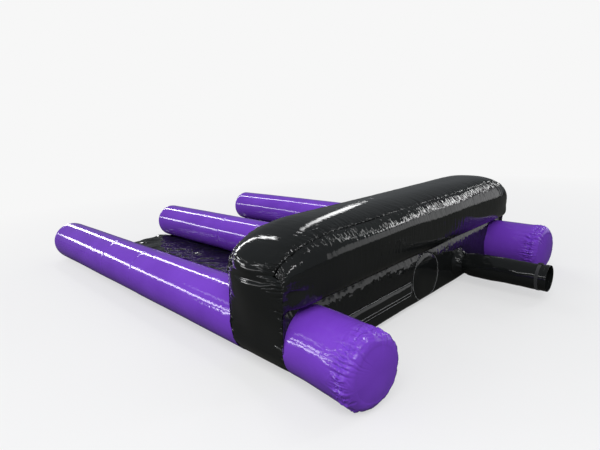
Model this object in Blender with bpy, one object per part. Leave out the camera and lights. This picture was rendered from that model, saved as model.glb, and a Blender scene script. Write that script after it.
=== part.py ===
"""Air-blown two-lane end wall: three long tubes under a cross wall, with ground sheets and a blower sleeve.

Frame: metres, +Z up, floor at z = 0. X runs along the tubes, from their open ends (-X) to the
blower's side (+X), with x = 0 in the middle of the wall's base. Y runs across the lanes, with
y = 0 on the centre tube. "Near" is the -Y side and "far" the +Y side.
"""

import math

import bmesh
import bpy
from mathutils import Matrix, Vector

# Fabric and clearances
SKIN = 0.002  # thickness that a coated fabric panel is modelled with
SEAM_GAP = 0.0006  # between panels that meet smoothly
TUBE_GAP = 0.004  # round a tube, where a flat-sided panel edge follows it
CORNER_GAP = 0.003  # between a panel's edge and the outside of one that it meets at a corner
CUTTER_REACH = 0.06  # how far a cutter runs on past what it cuts

# Tubes
TUBE_RADIUS = 0.225
TUBE_PITCH = 1.43  # centre to centre
LANE_TUBE_END_X = -4.05
END_PANEL_LENGTH = 1.59  # of each lane tube, with its cap
MIDDLE_PANEL_LENGTH = 0.65
STUB_REACH = 0.545  # from the base front to the middle of a stub's cap
STUB_TURN = math.radians(-5.8)  # the stubs lean towards the near side, in plan
STUB_BEND_LENGTH = 0.16
CAP_EDGE_RADIUS = 0.07
CAP_CROWN = 0.016
TUBE_SEGMENTS = 32
TUBE_TOP = 2 * TUBE_RADIUS

# Wall base, a chamber as high as the tubes. Each outline point is (x, z).
FACE_X = 0.285  # the upright stretch of the base's front
REAR_X = -0.235
FACE_LOW_Z = 0.052
FACE_HIGH_Z = TUBE_TOP - 0.09
FRONT_TOE = (FACE_X - 0.075, 0.0)
FRONT_TOE_ROUND = (FACE_X - 0.02, 0.024)
FRONT_BROW = (FACE_X - 0.013, TUBE_TOP - 0.03)
REAR_TOE = (REAR_X + 0.025, 0.0)
BASE_FRONT = (FRONT_TOE, FRONT_TOE_ROUND, (FACE_X, FACE_LOW_Z), (FACE_X, FACE_HIGH_Z), FRONT_BROW)
BASE_REAR = (REAR_TOE, (REAR_X, 0.09), (REAR_X, TUBE_TOP - 0.08))
WAIST_FRONT_X = FACE_X - 0.035
WAIST_REAR_X = REAR_X + 0.02
STUB_END_X = FACE_X + STUB_REACH

# Wall cushion, above the waist: a rounded box in section
CUSHION_X = 0.03
CUSHION_FRONT = 0.375
CUSHION_REAR = 0.325
CUSHION_UP = 0.25
CUSHION_DOWN = 0.235
CUSHION_OVER_TUBES = 0.005  # from the tops of the tubes to its lowest point
CUSHION_Z = TUBE_TOP + CUSHION_OVER_TUBES + CUSHION_DOWN
UPPER_POWER = 2.6  # 2 is an ellipse, more is squarer
LOWER_POWER = 4.0
FRONT_SEAM_ANGLE = math.radians(46)
REAR_SEAM_ANGLE = math.radians(134)

# Wall ends
END_Y = TUBE_PITCH + TUBE_RADIUS
END_BULGE = 0.07
SHOULDER_LENGTH = 0.505  # of the stretch where the cushion rounds down to an end
SHOULDER_Y = END_Y - SHOULDER_LENGTH
SHOULDER_Z = CUSHION_Z - 0.07
END_HEIGHT_SHARE = 0.30
END_DEPTH_SHARE = 0.74
GUSSET_START = 0.06  # from a tube's centre line to the narrow end of a corner gusset

# Waist baffle
BAFFLE_Z = TUBE_TOP - 0.004
BAFFLE_MARGIN = 0.012
BAFFLE_HOLE_RADIUS = 0.06
BAFFLE_HOLES = 6

# Lane ground sheets
SHEET_TUCK = 0.045  # from a tube's centre line to the sheet's sewn edge
SHEET_END_X = LANE_TUBE_END_X + 0.08

# Round panel that closes the base front over the centre tube's end
DISC_RADIUS = TUBE_RADIUS - 0.02
DISC_Z = TUBE_RADIUS + 0.007

# Deflation zip, with z heights on the base front
ZIP_NEAR_Y = -(TUBE_PITCH - TUBE_RADIUS - 0.085)
ZIP_FAR_Y = -(DISC_RADIUS + 0.057)
ZIP_Z = TUBE_RADIUS - 0.023
ZIP_TAPE_WIDTH = 0.036
ZIP_TAPE_THICKNESS = 0.0012
ZIP_CHAIN_WIDTH = 0.008
ZIP_CHAIN_THICKNESS = 0.0027
ZIP_STOP_LENGTH = 0.008
ZIP_SLIT_WIDTH = 0.005
SLIDER_LENGTH = 0.024
SLIDER_WIDTH = 0.016
SLIDER_THICKNESS = 0.0052
SLIDER_EDGE = 0.0012
PULL_LENGTH = 0.026
PULL_WIDTH = 0.010
PULL_THICKNESS = 0.0016
ZIP_END_ROOM = 0.012  # between the slider and an end stop at the ends of its travel

# Flap over the zip
FLAP_OVERHANG = 0.018  # past each end of the zip tape
FLAP_TOP_Z = ZIP_Z + 0.055
FLAP_BOTTOM_Z = ZIP_Z - 0.067
FLAP_ROOM = 0.014  # clear space under the flap, over the zip
FLAP_ROOT = SKIN + 2 * SEAM_GAP  # from the base front to the outside of the flap's hinged edge
FLAP_LIP = 0.008  # flat stretch along the hinged edge, and the room above the zip tape
FLAP_LOW_ROOM = 0.003  # under the pull tab, before the flap runs in to its grip strips
GRIP_WIDTH = 0.020  # hook and loop strips
GRIP_THICKNESS = 0.0017
GRIP_Z = FLAP_BOTTOM_Z + 0.013

# Blower sleeve
SLEEVE_Y = 0.62
SLEEVE_Z = 0.20
SLEEVE_RADIUS = 0.11
SLEEVE_LENGTH = 0.67  # from the pivot to the mouth hem
PORT_RADIUS = SLEEVE_RADIUS + 0.022
COLLAR_RADIUS = PORT_RADIUS + 0.013
NECK_RADIUS = SLEEVE_RADIUS - 0.006  # the neck turns inside the sleeve and the collar
COLLAR_TIP_RADIUS = NECK_RADIUS + 0.003
PIVOT_X = FACE_X + 0.075
COLLAR_TIP_BACK = 0.020
COLLAR_HOLLOW = (0.45, 0.62)  # a place along the collar, and the share of its narrowing done by there
NECK_REACH = 0.046
SLEEVE_START = 0.030
HEM_LENGTH = 0.030
HEM_THICKNESS = 0.004
STRAP_WIDTH = 0.025
STRAP_THICKNESS = 0.0018
STRAP_BACK = 0.085  # from the mouth to the strap
BUCKLE_SIZE = (0.034, 0.036, 0.006)
BUCKLE_SLOT = (0.024, 0.007)
SLEEVE_SEGMENTS = 24

TUBES = {"near": -TUBE_PITCH, "centre": 0.0, "far": TUBE_PITCH}


# Scene and materials


def clear_scene():
    for old in list(bpy.data.objects):
        bpy.data.objects.remove(old, do_unlink=True)


def material(name, colour, roughness, metallic=0.0):
    made = bpy.data.materials.new(name)
    made.use_nodes = True
    shader = made.node_tree.nodes["Principled BSDF"]
    shader.inputs["Base Color"].default_value = (*colour, 1.0)
    shader.inputs["Roughness"].default_value = roughness
    shader.inputs["Metallic"].default_value = metallic
    return made


def pivot(name, place):
    empty = bpy.data.objects.new(name, None)
    empty.empty_display_size = 0.1
    empty.location = place
    bpy.context.scene.collection.objects.link(empty)
    return empty


def add_object(name, shape, colour, skin=0.0, parent=None):
    """Makes a sub-part of a bmesh in world coordinates. A skin thickens an open surface inwards."""
    mesh = bpy.data.meshes.new(name)
    shape.to_mesh(mesh)
    shape.free()
    mesh.materials.append(colour)
    mesh.shade_smooth()
    mesh.set_sharp_from_angle(angle=math.radians(35))
    made = bpy.data.objects.new(name, mesh)
    bpy.context.scene.collection.objects.link(made)
    if skin:
        solidify = made.modifiers.new("Fabric thickness", "SOLIDIFY")
        solidify.thickness = skin
        solidify.offset = -1.0
        solidify.use_even_offset = True
    if parent:
        made.parent = parent
        made.matrix_parent_inverse = Matrix.Translation(-parent.location)
    return made


def add_cutter(name, shape):
    mesh = bpy.data.meshes.new(name)
    shape.to_mesh(mesh)
    shape.free()
    made = bpy.data.objects.new(name, mesh)
    bpy.context.scene.collection.objects.link(made)
    made.hide_render = True
    made.display_type = "WIRE"
    return made


def cut(target, cutter, operation="DIFFERENCE", solver="EXACT"):
    boolean = target.modifiers.new(cutter.name, "BOOLEAN")
    boolean.operation = operation
    boolean.solver = solver
    boolean.object = cutter


# Shapes


def turn_outwards(shape, inside):
    """Faces an open surface away from the point that inside(centre) gives for each face's centre."""
    shape.normal_update()
    total = 0.0
    for face in shape.faces:
        centre = face.calc_center_median()
        total += face.normal.dot(centre - inside(centre))
    if total < 0:
        bmesh.ops.reverse_faces(shape, faces=shape.faces[:])


def turned(profile, y, z, segments, inside_x=None):
    """An open surface of revolution about the line along X through (y, z). Each profile point is (x, radius).

    It faces away from its axis or, where inside_x is given, from the axis point at that x.
    """
    shape = bmesh.new()
    line = [shape.verts.new((x, y, z + radius)) for x, radius in profile]
    edges = [shape.edges.new(pair) for pair in zip(line, line[1:])]
    bmesh.ops.spin(
        shape,
        geom=line + edges,
        cent=(0, y, z),
        axis=(1, 0, 0),
        angle=2 * math.pi,
        steps=segments,
        use_merge=True,
    )
    bmesh.ops.remove_doubles(shape, verts=shape.verts[:], dist=1e-5)
    turn_outwards(shape, lambda centre: Vector((centre.x if inside_x is None else inside_x, y, z)))
    return shape


def surface(point, across, along, inside):
    """An open grid whose points are point(u, v), with u and v from 0 to 1, facing away from inside."""
    shape = bmesh.new()
    bmesh.ops.create_grid(shape, x_segments=across, y_segments=along, size=0.5)
    for vert in shape.verts:
        vert.co = point(min(max(vert.co.x + 0.5, 0.0), 1.0), min(max(vert.co.y + 0.5, 0.0), 1.0))
    turn_outwards(shape, lambda centre: inside(centre))
    return shape


def block(low, high):
    shape = bmesh.new()
    bmesh.ops.create_cube(shape, size=1.0)
    size = Vector(high) - Vector(low)
    bmesh.ops.scale(shape, vec=size, verts=shape.verts[:])
    bmesh.ops.translate(shape, vec=(Vector(high) + Vector(low)) / 2, verts=shape.verts[:])
    return shape


def rod_along_x(radius, low_x, high_x, y, z, segments):
    shape = bmesh.new()
    bmesh.ops.create_cone(
        shape, cap_ends=True, segments=segments, radius1=radius, radius2=radius, depth=high_x - low_x
    )
    bmesh.ops.rotate(shape, cent=(0, 0, 0), matrix=Matrix.Rotation(math.pi / 2, 3, "Y"), verts=shape.verts[:])
    bmesh.ops.translate(shape, vec=((low_x + high_x) / 2, y, z), verts=shape.verts[:])
    return shape


def rod_along_z(radius, low_z, high_z, x, y, segments):
    shape = bmesh.new()
    bmesh.ops.create_cone(
        shape, cap_ends=True, segments=segments, radius1=radius, radius2=radius, depth=high_z - low_z
    )
    bmesh.ops.translate(shape, vec=(x, y, (low_z + high_z) / 2), verts=shape.verts[:])
    return shape


def mix(a, b, share):
    return a + (b - a) * share


def ease(share):
    share = min(max(share, 0.0), 1.0)
    return share * share * (3 - 2 * share)


# Outline of the wall


def x_on_outline(outline, top, z):
    """The x of a base outline, which ends at the point top, at height z."""
    points = (*outline, top)
    for (low_x, low_z), (high_x, high_z) in zip(points, points[1:]):
        if z <= high_z:
            return mix(low_x, high_x, max(z - low_z, 0.0) / (high_z - low_z))
    return points[-1][0]


def cushion_outline(angle):
    """(x, z) on the cushion's section, with angle 0 at its front and a right angle at its crown."""
    cosine = math.cos(angle)
    sine = math.sin(angle)
    power = 2 / (UPPER_POWER if sine >= 0 else LOWER_POWER)
    depth = CUSHION_FRONT if cosine >= 0 else CUSHION_REAR
    height = CUSHION_UP if sine >= 0 else CUSHION_DOWN
    x = CUSHION_X + math.copysign(depth * abs(cosine) ** power, cosine)
    z = CUSHION_Z + math.copysign(height * abs(sine) ** power, sine)
    return x, z


def waist_angle(x):
    depth = CUSHION_FRONT if x >= CUSHION_X else CUSHION_REAR
    steep = math.acos((abs(x - CUSHION_X) / depth) ** (LOWER_POWER / 2))
    return -steep if x >= CUSHION_X else math.pi + steep


WAIST_FRONT_Z = cushion_outline(waist_angle(WAIST_FRONT_X))[1]
WAIST_REAR_Z = cushion_outline(waist_angle(WAIST_REAR_X))[1]


def base_front_x(z):
    return x_on_outline(BASE_FRONT, (WAIST_FRONT_X, WAIST_FRONT_Z), z)


def base_rear_x(z):
    return x_on_outline(BASE_REAR, (WAIST_REAR_X, WAIST_REAR_Z), z)


def narrowed(x, z, rounding):
    """The section's point (x, z) drawn in near the wall's ends. Rounding is 1 in the middle, 0 at an end."""
    depth_share = mix(END_DEPTH_SHARE, 1.0, rounding)
    height_share = mix(END_HEIGHT_SHARE, 1.0, rounding)
    above_waist = ease((z - WAIST_FRONT_Z) / (SHOULDER_Z - WAIST_FRONT_Z))
    x = CUSHION_X + (x - CUSHION_X) * mix(1.0, depth_share, above_waist)
    if z > SHOULDER_Z:
        z = SHOULDER_Z + (z - SHOULDER_Z) * height_share
    return x, z


def cushion_point(angle, y, end_y):
    past_shoulder = min(max((abs(y) - SHOULDER_Y) / (end_y - SHOULDER_Y), 0.0), 1.0)
    x, z = narrowed(*cushion_outline(angle), math.sqrt(1 - past_shoulder**2))
    return Vector((x, y, z))


def end_outline_x(z, front):
    """The x of the wall's end, at its front or rear edge, at height z."""
    waist_z = WAIST_FRONT_Z if front else WAIST_REAR_Z
    if z < waist_z:
        return base_front_x(z) if front else base_rear_x(z)
    full_z = z if z <= SHOULDER_Z else SHOULDER_Z + (z - SHOULDER_Z) / END_HEIGHT_SHARE
    height = CUSHION_UP if full_z >= CUSHION_Z else CUSHION_DOWN
    power = UPPER_POWER if full_z >= CUSHION_Z else LOWER_POWER
    depth = CUSHION_FRONT if front else -CUSHION_REAR
    share = min(abs(full_z - CUSHION_Z) / height, 1.0)
    x = CUSHION_X + depth * (1 - share**power) ** (1 / power)
    return narrowed(x, full_z, 0.0)[0]


SEAM_CORNER_FRONT = narrowed(*cushion_outline(FRONT_SEAM_ANGLE), 0.0)
SEAM_CORNER_REAR = narrowed(*cushion_outline(REAR_SEAM_ANGLE), 0.0)


def ridge_bulge(x):
    """How far the wall's end stands out along its top edge, at x."""
    share = (x - SEAM_CORNER_REAR[0]) / (SEAM_CORNER_FRONT[0] - SEAM_CORNER_REAR[0])
    return END_BULGE * (1 - (2 * min(max(share, 0.0), 1.0) - 1) ** 2)


def ridge_z(x):
    """Height of the wall's end at its top edge, at x."""
    full_x = CUSHION_X + (x - CUSHION_X) / END_DEPTH_SHARE
    depth = CUSHION_FRONT if full_x >= CUSHION_X else CUSHION_REAR
    share = min(abs(full_x - CUSHION_X) / depth, 1.0)
    full_z = CUSHION_Z + CUSHION_UP * (1 - share**UPPER_POWER) ** (1 / UPPER_POWER)
    return SHOULDER_Z + (full_z - SHOULDER_Z) * END_HEIGHT_SHARE


def tube_half_width(z, clearance):
    """Half the width of a tube's section at height z, with a clearance round it."""
    radius = TUBE_RADIUS + clearance
    return math.sqrt(max(radius**2 - (z - TUBE_RADIUS) ** 2, 0.0))


# Tubes


def tube_cap(name, y, end_x, direction, colour, bend=None):
    """A round end panel whose edge turns over onto the tube. Direction is the way that it faces along X."""
    steps = 3
    profile = []
    for step in range(steps + 1):
        angle = step / steps * math.pi / 2
        x = end_x - direction * (CAP_EDGE_RADIUS * (1 - math.sin(angle)) + CAP_CROWN)
        profile.append((x, TUBE_RADIUS - CAP_EDGE_RADIUS * (1 - math.cos(angle))))
    flat_radius = profile[-1][1]
    for share in (0.5, 0.0):
        profile.append((end_x - direction * CAP_CROWN * share**2, flat_radius * share))
    shape = turned(profile, y, TUBE_RADIUS, TUBE_SEGMENTS, inside_x=end_x - direction * TUBE_RADIUS)
    if bend:
        bend(shape)
    add_object(name, shape, colour, SKIN)


def cap_seam_x(end_x, direction):
    return end_x - direction * (CAP_EDGE_RADIUS + CAP_CROWN + SEAM_GAP)


def tube_panel(low_x, high_x, y):
    return turned([(low_x, TUBE_RADIUS), (high_x, TUBE_RADIUS)], y, TUBE_RADIUS, TUBE_SEGMENTS)


def lane_tube(side, y, purple):
    end_seam = LANE_TUBE_END_X + END_PANEL_LENGTH
    middle_seam = end_seam + MIDDLE_PANEL_LENGTH
    main = tube_panel(middle_seam + SEAM_GAP, REAR_X - SEAM_GAP, y)
    for vert in main.verts:
        if vert.co.x > middle_seam + 2 * SEAM_GAP:
            vert.co.x = base_rear_x(vert.co.z) - CORNER_GAP
    add_object(f"{side}_lane_tube", main, purple, SKIN)
    middle = tube_panel(end_seam + SEAM_GAP, middle_seam, y)
    add_object(f"{side}_lane_tube_middle_panel", middle, purple, SKIN)
    last = tube_panel(cap_seam_x(LANE_TUBE_END_X, -1), end_seam, y)
    add_object(f"{side}_lane_tube_end_panel", last, purple, SKIN)
    tube_cap(f"{side}_lane_tube_cap", y, LANE_TUBE_END_X, -1, purple)


def bend_stub(shape, y):
    """Turns what lies past the base front towards the near side, with the root left square to it."""
    for vert in shape.verts:
        reach = vert.co.x - FACE_X
        if reach <= 0:
            continue
        curved = min(reach, STUB_BEND_LENGTH)
        heading = STUB_TURN * curved / STUB_BEND_LENGTH
        middle_x = FACE_X + curved + (reach - curved) * math.cos(heading)
        middle_y = y + curved * math.sin(heading / 2) + (reach - curved) * math.sin(heading)
        side = vert.co.y - y
        vert.co.x = middle_x - side * math.sin(heading)
        vert.co.y = middle_y + side * math.cos(heading)


def stub(side, y, purple):
    seam = cap_seam_x(STUB_END_X, 1)
    rings = 4
    profile = [(mix(FACE_X + SEAM_GAP, seam, ring / rings), TUBE_RADIUS) for ring in range(rings + 1)]
    shape = turned(profile, y, TUBE_RADIUS, TUBE_SEGMENTS)
    root = [vert for vert in shape.verts if vert.co.x < FACE_X + 2 * SEAM_GAP]
    bend_stub(shape, y)
    for vert in root:
        vert.co.x = base_front_x(vert.co.z) + CORNER_GAP
    add_object(f"{side}_stub", shape, purple, SKIN)
    tube_cap(f"{side}_stub_cap", y, STUB_END_X, 1, purple, lambda cap: bend_stub(cap, y))


# Wall


def wall_middle(centre):
    """A point inside the wall, beside the given one."""
    height = TUBE_RADIUS if centre.z < WAIST_FRONT_Z else SHOULDER_Z
    reach = SHOULDER_Y + SHOULDER_LENGTH / 4
    return Vector((CUSHION_X, min(max(centre.y, -reach), reach), height))


def spread_to_ends(share, end_y):
    """A y from -end_y to end_y, with its steps closer together where the wall rounds down to its ends."""
    crowding = 1.35
    centred = 2 * share - 1
    return end_y * math.copysign(1 - (1 - abs(centred)) ** crowding, centred)


def wall_top_panel(black):
    def point(u, v):
        angle = mix(FRONT_SEAM_ANGLE, REAR_SEAM_ANGLE, u)
        corner_x = narrowed(*cushion_outline(angle), 0.0)[0]
        end_y = END_Y + ridge_bulge(corner_x)
        return cushion_point(angle, spread_to_ends(v, end_y), end_y)

    add_object("wall_top_panel", surface(point, 8, 22, wall_middle), black, SKIN)


def wall_side_panel(name, seam_angle, waist, black):
    seam_step = CORNER_GAP / CUSHION_UP
    first = seam_angle + math.copysign(seam_step, waist - seam_angle)

    def point(u, v):
        return cushion_point(mix(first, waist, u), spread_to_ends(v, END_Y - CORNER_GAP), END_Y)

    add_object(name, surface(point, 10, 18, wall_middle), black, SKIN)


def wall_end_panel(name, side, black):
    """The end panel comes down from the cushion's top edge, then wraps the tube's outside to the floor."""
    rows = 5  # in each of its three stretches: to the waist, down beside the tube, and round under it

    def point(u, v):
        row = round(v * 3 * rows)
        waist_z = mix(WAIST_REAR_Z, WAIST_FRONT_Z, u)
        y = END_Y
        if row <= rows:
            seam_x = mix(SEAM_CORNER_REAR[0], SEAM_CORNER_FRONT[0], u)
            z = mix(ridge_z(seam_x) - CORNER_GAP, waist_z, row / rows)
        elif row <= 2 * rows:
            z = mix(waist_z, TUBE_RADIUS, row / rows - 1)
        else:
            angle = (row / rows - 2) * math.pi / 2
            z = TUBE_RADIUS * (1 - math.sin(angle))
            y = TUBE_PITCH + TUBE_RADIUS * math.cos(angle)
        x = mix(end_outline_x(z, False) + CORNER_GAP, end_outline_x(z, True) - CORNER_GAP, u)
        bulge = END_BULGE * ease((z - TUBE_RADIUS) / (SHOULDER_Z - TUBE_RADIUS))
        y += bulge * (1 - (2 * u - 1) ** 2)
        return Vector((x, side * y, z))

    add_object(name, surface(point, 6, 3 * rows, wall_middle), black, SKIN)


def edge_past_tube(z, top_z):
    """Half the width of a base panel at height z: up the outer tubes' inner sides, then out over them."""
    if z <= 2 * TUBE_RADIUS:
        return TUBE_PITCH - tube_half_width(z, TUBE_GAP)
    return mix(TUBE_PITCH, END_Y - CORNER_GAP, (z - 2 * TUBE_RADIUS) / (top_z - 2 * TUBE_RADIUS))


def base_heights(outline, top_z):
    """Heights at which a base panel has a row of points: its outline's corners, and steps round the tubes."""
    steps = 12
    rows = {round(TUBE_RADIUS * (1 - math.cos(math.pi * step / steps)), 6) for step in range(steps + 1)}
    rows |= {z for _, z in outline}
    rows |= {2 * TUBE_RADIUS + SEAM_GAP, top_z}
    return sorted(rows)


def base_front_surface():
    top_z = WAIST_FRONT_Z - CORNER_GAP
    rows = base_heights(BASE_FRONT, top_z)

    def point(u, v):
        z = rows[round(v * (len(rows) - 1))]
        return Vector((base_front_x(z), mix(-1, 1, u) * edge_past_tube(z, top_z), z))

    return surface(point, 10, len(rows) - 1, lambda centre: Vector((centre.x - 1, centre.y, centre.z)))


def base_front_panel(black):
    panel = add_object("base_front_panel", base_front_surface(), black, SKIN)
    reach = (FACE_X - CUTTER_REACH, FACE_X + CUTTER_REACH)
    disc_hole = rod_along_x(DISC_RADIUS + CORNER_GAP / 2, *reach, 0.0, DISC_Z, TUBE_SEGMENTS)
    cut(panel, add_cutter("disc_hole_cutter", disc_hole), solver="MANIFOLD")
    port_hole = rod_along_x(PORT_RADIUS, *reach, SLEEVE_Y, SLEEVE_Z, SLEEVE_SEGMENTS)
    cut(panel, add_cutter("blower_port_cutter", port_hole), solver="MANIFOLD")
    slit_half = ZIP_SLIT_WIDTH / 2
    slit = block(
        (reach[0], ZIP_NEAR_Y + 2 * ZIP_STOP_LENGTH, ZIP_Z - slit_half),
        (reach[1], ZIP_FAR_Y - 2 * ZIP_STOP_LENGTH, ZIP_Z + slit_half),
    )
    cut(panel, add_cutter("zip_slit_cutter", slit), solver="MANIFOLD")


def centre_end_disc(black):
    disc = add_object("centre_end_disc", base_front_surface(), black, SKIN)
    reach = (FACE_X - CUTTER_REACH, FACE_X + CUTTER_REACH)
    rim = rod_along_x(DISC_RADIUS, *reach, 0.0, DISC_Z, TUBE_SEGMENTS)
    cut(disc, add_cutter("disc_rim_cutter", rim), "INTERSECT", "MANIFOLD")


def base_rear_panel(name, side, black):
    top_z = WAIST_REAR_Z - CORNER_GAP
    rows = base_heights(BASE_REAR, top_z)

    def point(u, v):
        z = rows[round(v * (len(rows) - 1))]
        inner = tube_half_width(z, TUBE_GAP) + SEAM_GAP
        y = mix(inner, edge_past_tube(z, top_z), u)
        return Vector((base_rear_x(z), side * y, z))

    shape = surface(point, 5, len(rows) - 1, lambda centre: Vector((centre.x + 1, centre.y, centre.z)))
    add_object(name, shape, black, SKIN)


def corner_gusset(name, side, front, black):
    """Closes the corner over a tube, between the base panel, the wall's end and the cushion's waist."""
    base_x = base_front_x if front else base_rear_x
    top_z = (WAIST_FRONT_Z if front else WAIST_REAR_Z) - CORNER_GAP
    outer_y = END_Y - CORNER_GAP

    def point(u, v):
        y = mix(TUBE_PITCH + GUSSET_START, outer_y, u)
        over_tube = math.sqrt((TUBE_RADIUS + TUBE_GAP) ** 2 - (y - TUBE_PITCH) ** 2)
        under_base = mix(TUBE_TOP, top_z, (y - TUBE_PITCH) / (outer_y - TUBE_PITCH)) - CORNER_GAP
        z = mix(TUBE_RADIUS + over_tube, under_base, v)
        return Vector((base_x(z), side * y, z))

    def behind(centre):
        return Vector((centre.x + (-1 if front else 1), centre.y, centre.z))

    add_object(name, surface(point, 6, 6, behind), black, SKIN)


def base_floor_panel(black):
    front = BASE_FRONT[0][0] - CORNER_GAP
    rear = BASE_REAR[0][0] + CORNER_GAP
    half = TUBE_PITCH - CORNER_GAP
    add_object("base_floor_panel", block((rear, -half, 0.0), (front, half, SKIN)), black)


def waist_baffle(black):
    """The baffle ties the front and rear waist seams together. Its holes let air up into the cushion."""
    front = base_front_x(BAFFLE_Z) - BAFFLE_MARGIN
    rear = base_rear_x(BAFFLE_Z) + BAFFLE_MARGIN
    half = TUBE_PITCH
    baffle = add_object("waist_baffle", block((rear, -half, BAFFLE_Z - SKIN), (front, half, BAFFLE_Z)), black)
    spacing = 2 * half / BAFFLE_HOLES
    reach = (BAFFLE_Z - CUTTER_REACH, BAFFLE_Z + CUTTER_REACH)
    for hole in range(BAFFLE_HOLES):
        y = -half + spacing * (hole + 0.5)
        rod = rod_along_z(BAFFLE_HOLE_RADIUS, *reach, (front + rear) / 2, y, 24)
        cut(baffle, add_cutter(f"air_hole_cutter_{hole + 1}", rod))


def lane_sheet(name, side, black):
    low_y = SHEET_TUCK
    high_y = TUBE_PITCH - SHEET_TUCK
    front = BASE_REAR[0][0] - CORNER_GAP - SKIN
    ends = sorted((side * low_y, side * high_y))
    add_object(name, block((SHEET_END_X, ends[0], 0.0), (front, ends[1], SKIN)), black)


# Zip and flap


def on_face(near, far, z_low, z_high, inner, outer):
    """A flat strip on the base front. Inner and outer are its distances from the fabric."""
    return block((FACE_X + inner, near, z_low), (FACE_X + outer, far, z_high))


def zip_parts(black, moulded, slider_metal, slider_track):
    tape_inner = SEAM_GAP
    tape_outer = tape_inner + ZIP_TAPE_THICKNESS
    chain_inner = tape_outer + SEAM_GAP
    chain_outer = chain_inner + ZIP_CHAIN_THICKNESS
    slider_inner = chain_outer + SEAM_GAP
    slider_outer = slider_inner + SLIDER_THICKNESS
    pull_inner = slider_outer + SEAM_GAP
    half_tape = ZIP_TAPE_WIDTH / 2
    half_chain = ZIP_CHAIN_WIDTH / 2
    add_object(
        "zip_tape",
        on_face(ZIP_NEAR_Y, ZIP_FAR_Y, ZIP_Z - half_tape, ZIP_Z + half_tape, tape_inner, tape_outer),
        black,
    )
    chain_near = ZIP_NEAR_Y + ZIP_STOP_LENGTH + SEAM_GAP
    chain_far = ZIP_FAR_Y - ZIP_STOP_LENGTH - SEAM_GAP
    add_object(
        "zip_chain",
        on_face(chain_near, chain_far, ZIP_Z - half_chain, ZIP_Z + half_chain, chain_inner, chain_outer),
        moulded,
    )
    for name, start in (("near", ZIP_NEAR_Y), ("far", ZIP_FAR_Y - ZIP_STOP_LENGTH)):
        stop = on_face(
            start,
            start + ZIP_STOP_LENGTH,
            ZIP_Z - ZIP_CHAIN_WIDTH,
            ZIP_Z + ZIP_CHAIN_WIDTH,
            chain_inner,
            slider_outer,
        )
        add_object(f"zip_stop_{name}", stop, moulded)
    slider_far = ZIP_FAR_Y - ZIP_STOP_LENGTH - ZIP_END_ROOM
    slider_near = slider_far - SLIDER_LENGTH
    half_slider = SLIDER_WIDTH / 2
    body = on_face(
        slider_near, slider_far, ZIP_Z - half_slider, ZIP_Z + half_slider, slider_inner, slider_outer
    )
    bmesh.ops.bevel(body, geom=body.edges[:], offset=SLIDER_EDGE, segments=1, affect="EDGES", profile=0.5)
    add_object("zip_slider", body, slider_metal, parent=slider_track)
    middle = (slider_near + slider_far) / 2
    tab = on_face(
        middle - PULL_WIDTH / 2,
        middle + PULL_WIDTH / 2,
        ZIP_Z - PULL_LENGTH,
        ZIP_Z + SEAM_GAP,
        pull_inner,
        pull_inner + PULL_THICKNESS,
    )
    add_object("zip_pull_tab", tab, slider_metal, parent=slider_track)


def flap_parts(black, grip, flap_hinge):
    near = ZIP_NEAR_Y - FLAP_OVERHANG
    far = ZIP_FAR_Y + FLAP_OVERHANG
    grip_low = GRIP_Z - GRIP_WIDTH / 2
    grip_high = GRIP_Z + GRIP_WIDTH / 2
    loop_outer = SEAM_GAP + GRIP_THICKNESS
    hook_inner = loop_outer + SEAM_GAP
    hook_outer = hook_inner + GRIP_THICKNESS
    add_object("grip_loop_strip", on_face(near, far, grip_low, grip_high, SEAM_GAP, loop_outer), grip)
    hook = on_face(near, far, grip_low, grip_high, hook_inner, hook_outer)
    add_object("grip_hook_strip", hook, grip, parent=flap_hinge)
    raised = FLAP_ROOM + SKIN
    edge = hook_outer + SEAM_GAP + SKIN
    profile = (
        (FLAP_ROOT, FLAP_TOP_Z),
        (FLAP_ROOT + SEAM_GAP, FLAP_TOP_Z - FLAP_LIP),
        (raised, ZIP_Z + ZIP_TAPE_WIDTH / 2 + FLAP_LIP),
        (raised, ZIP_Z - PULL_LENGTH - FLAP_LOW_ROOM),
        (edge, grip_high + SKIN),
        (edge, FLAP_BOTTOM_Z),
    )

    def point(u, v):
        stand_off, z = profile[round(u * (len(profile) - 1))]
        return Vector((FACE_X + stand_off, mix(near, far, v), z))

    shape = surface(point, len(profile) - 1, 4, lambda centre: Vector((centre.x - 1, centre.y, centre.z)))
    add_object("zip_flap", shape, black, SKIN, parent=flap_hinge)


# Blower sleeve


def sleeve_collar(black):
    tip_x = PIVOT_X - COLLAR_TIP_BACK
    along, narrowing = COLLAR_HOLLOW
    profile = [
        (FACE_X + CORNER_GAP / 2, COLLAR_RADIUS),
        (mix(FACE_X, tip_x, along), mix(COLLAR_RADIUS, COLLAR_TIP_RADIUS, narrowing)),
        (tip_x, COLLAR_TIP_RADIUS),
    ]
    shape = turned(profile, SLEEVE_Y, SLEEVE_Z, SLEEVE_SEGMENTS)
    add_object("sleeve_collar", shape, black, SKIN)


def sleeve_neck(black, swing):
    """The gathered neck is a band of a ball about the pivot, so that it turns inside the collar."""
    steps = 4
    profile = []
    for step in range(steps + 1):
        reach = mix(-NECK_REACH, NECK_REACH, step / steps)
        profile.append((PIVOT_X + reach, math.sqrt(NECK_RADIUS**2 - reach**2)))
    add_object("sleeve_neck", turned(profile, SLEEVE_Y, SLEEVE_Z, SLEEVE_SEGMENTS), black, SKIN, swing)


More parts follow.
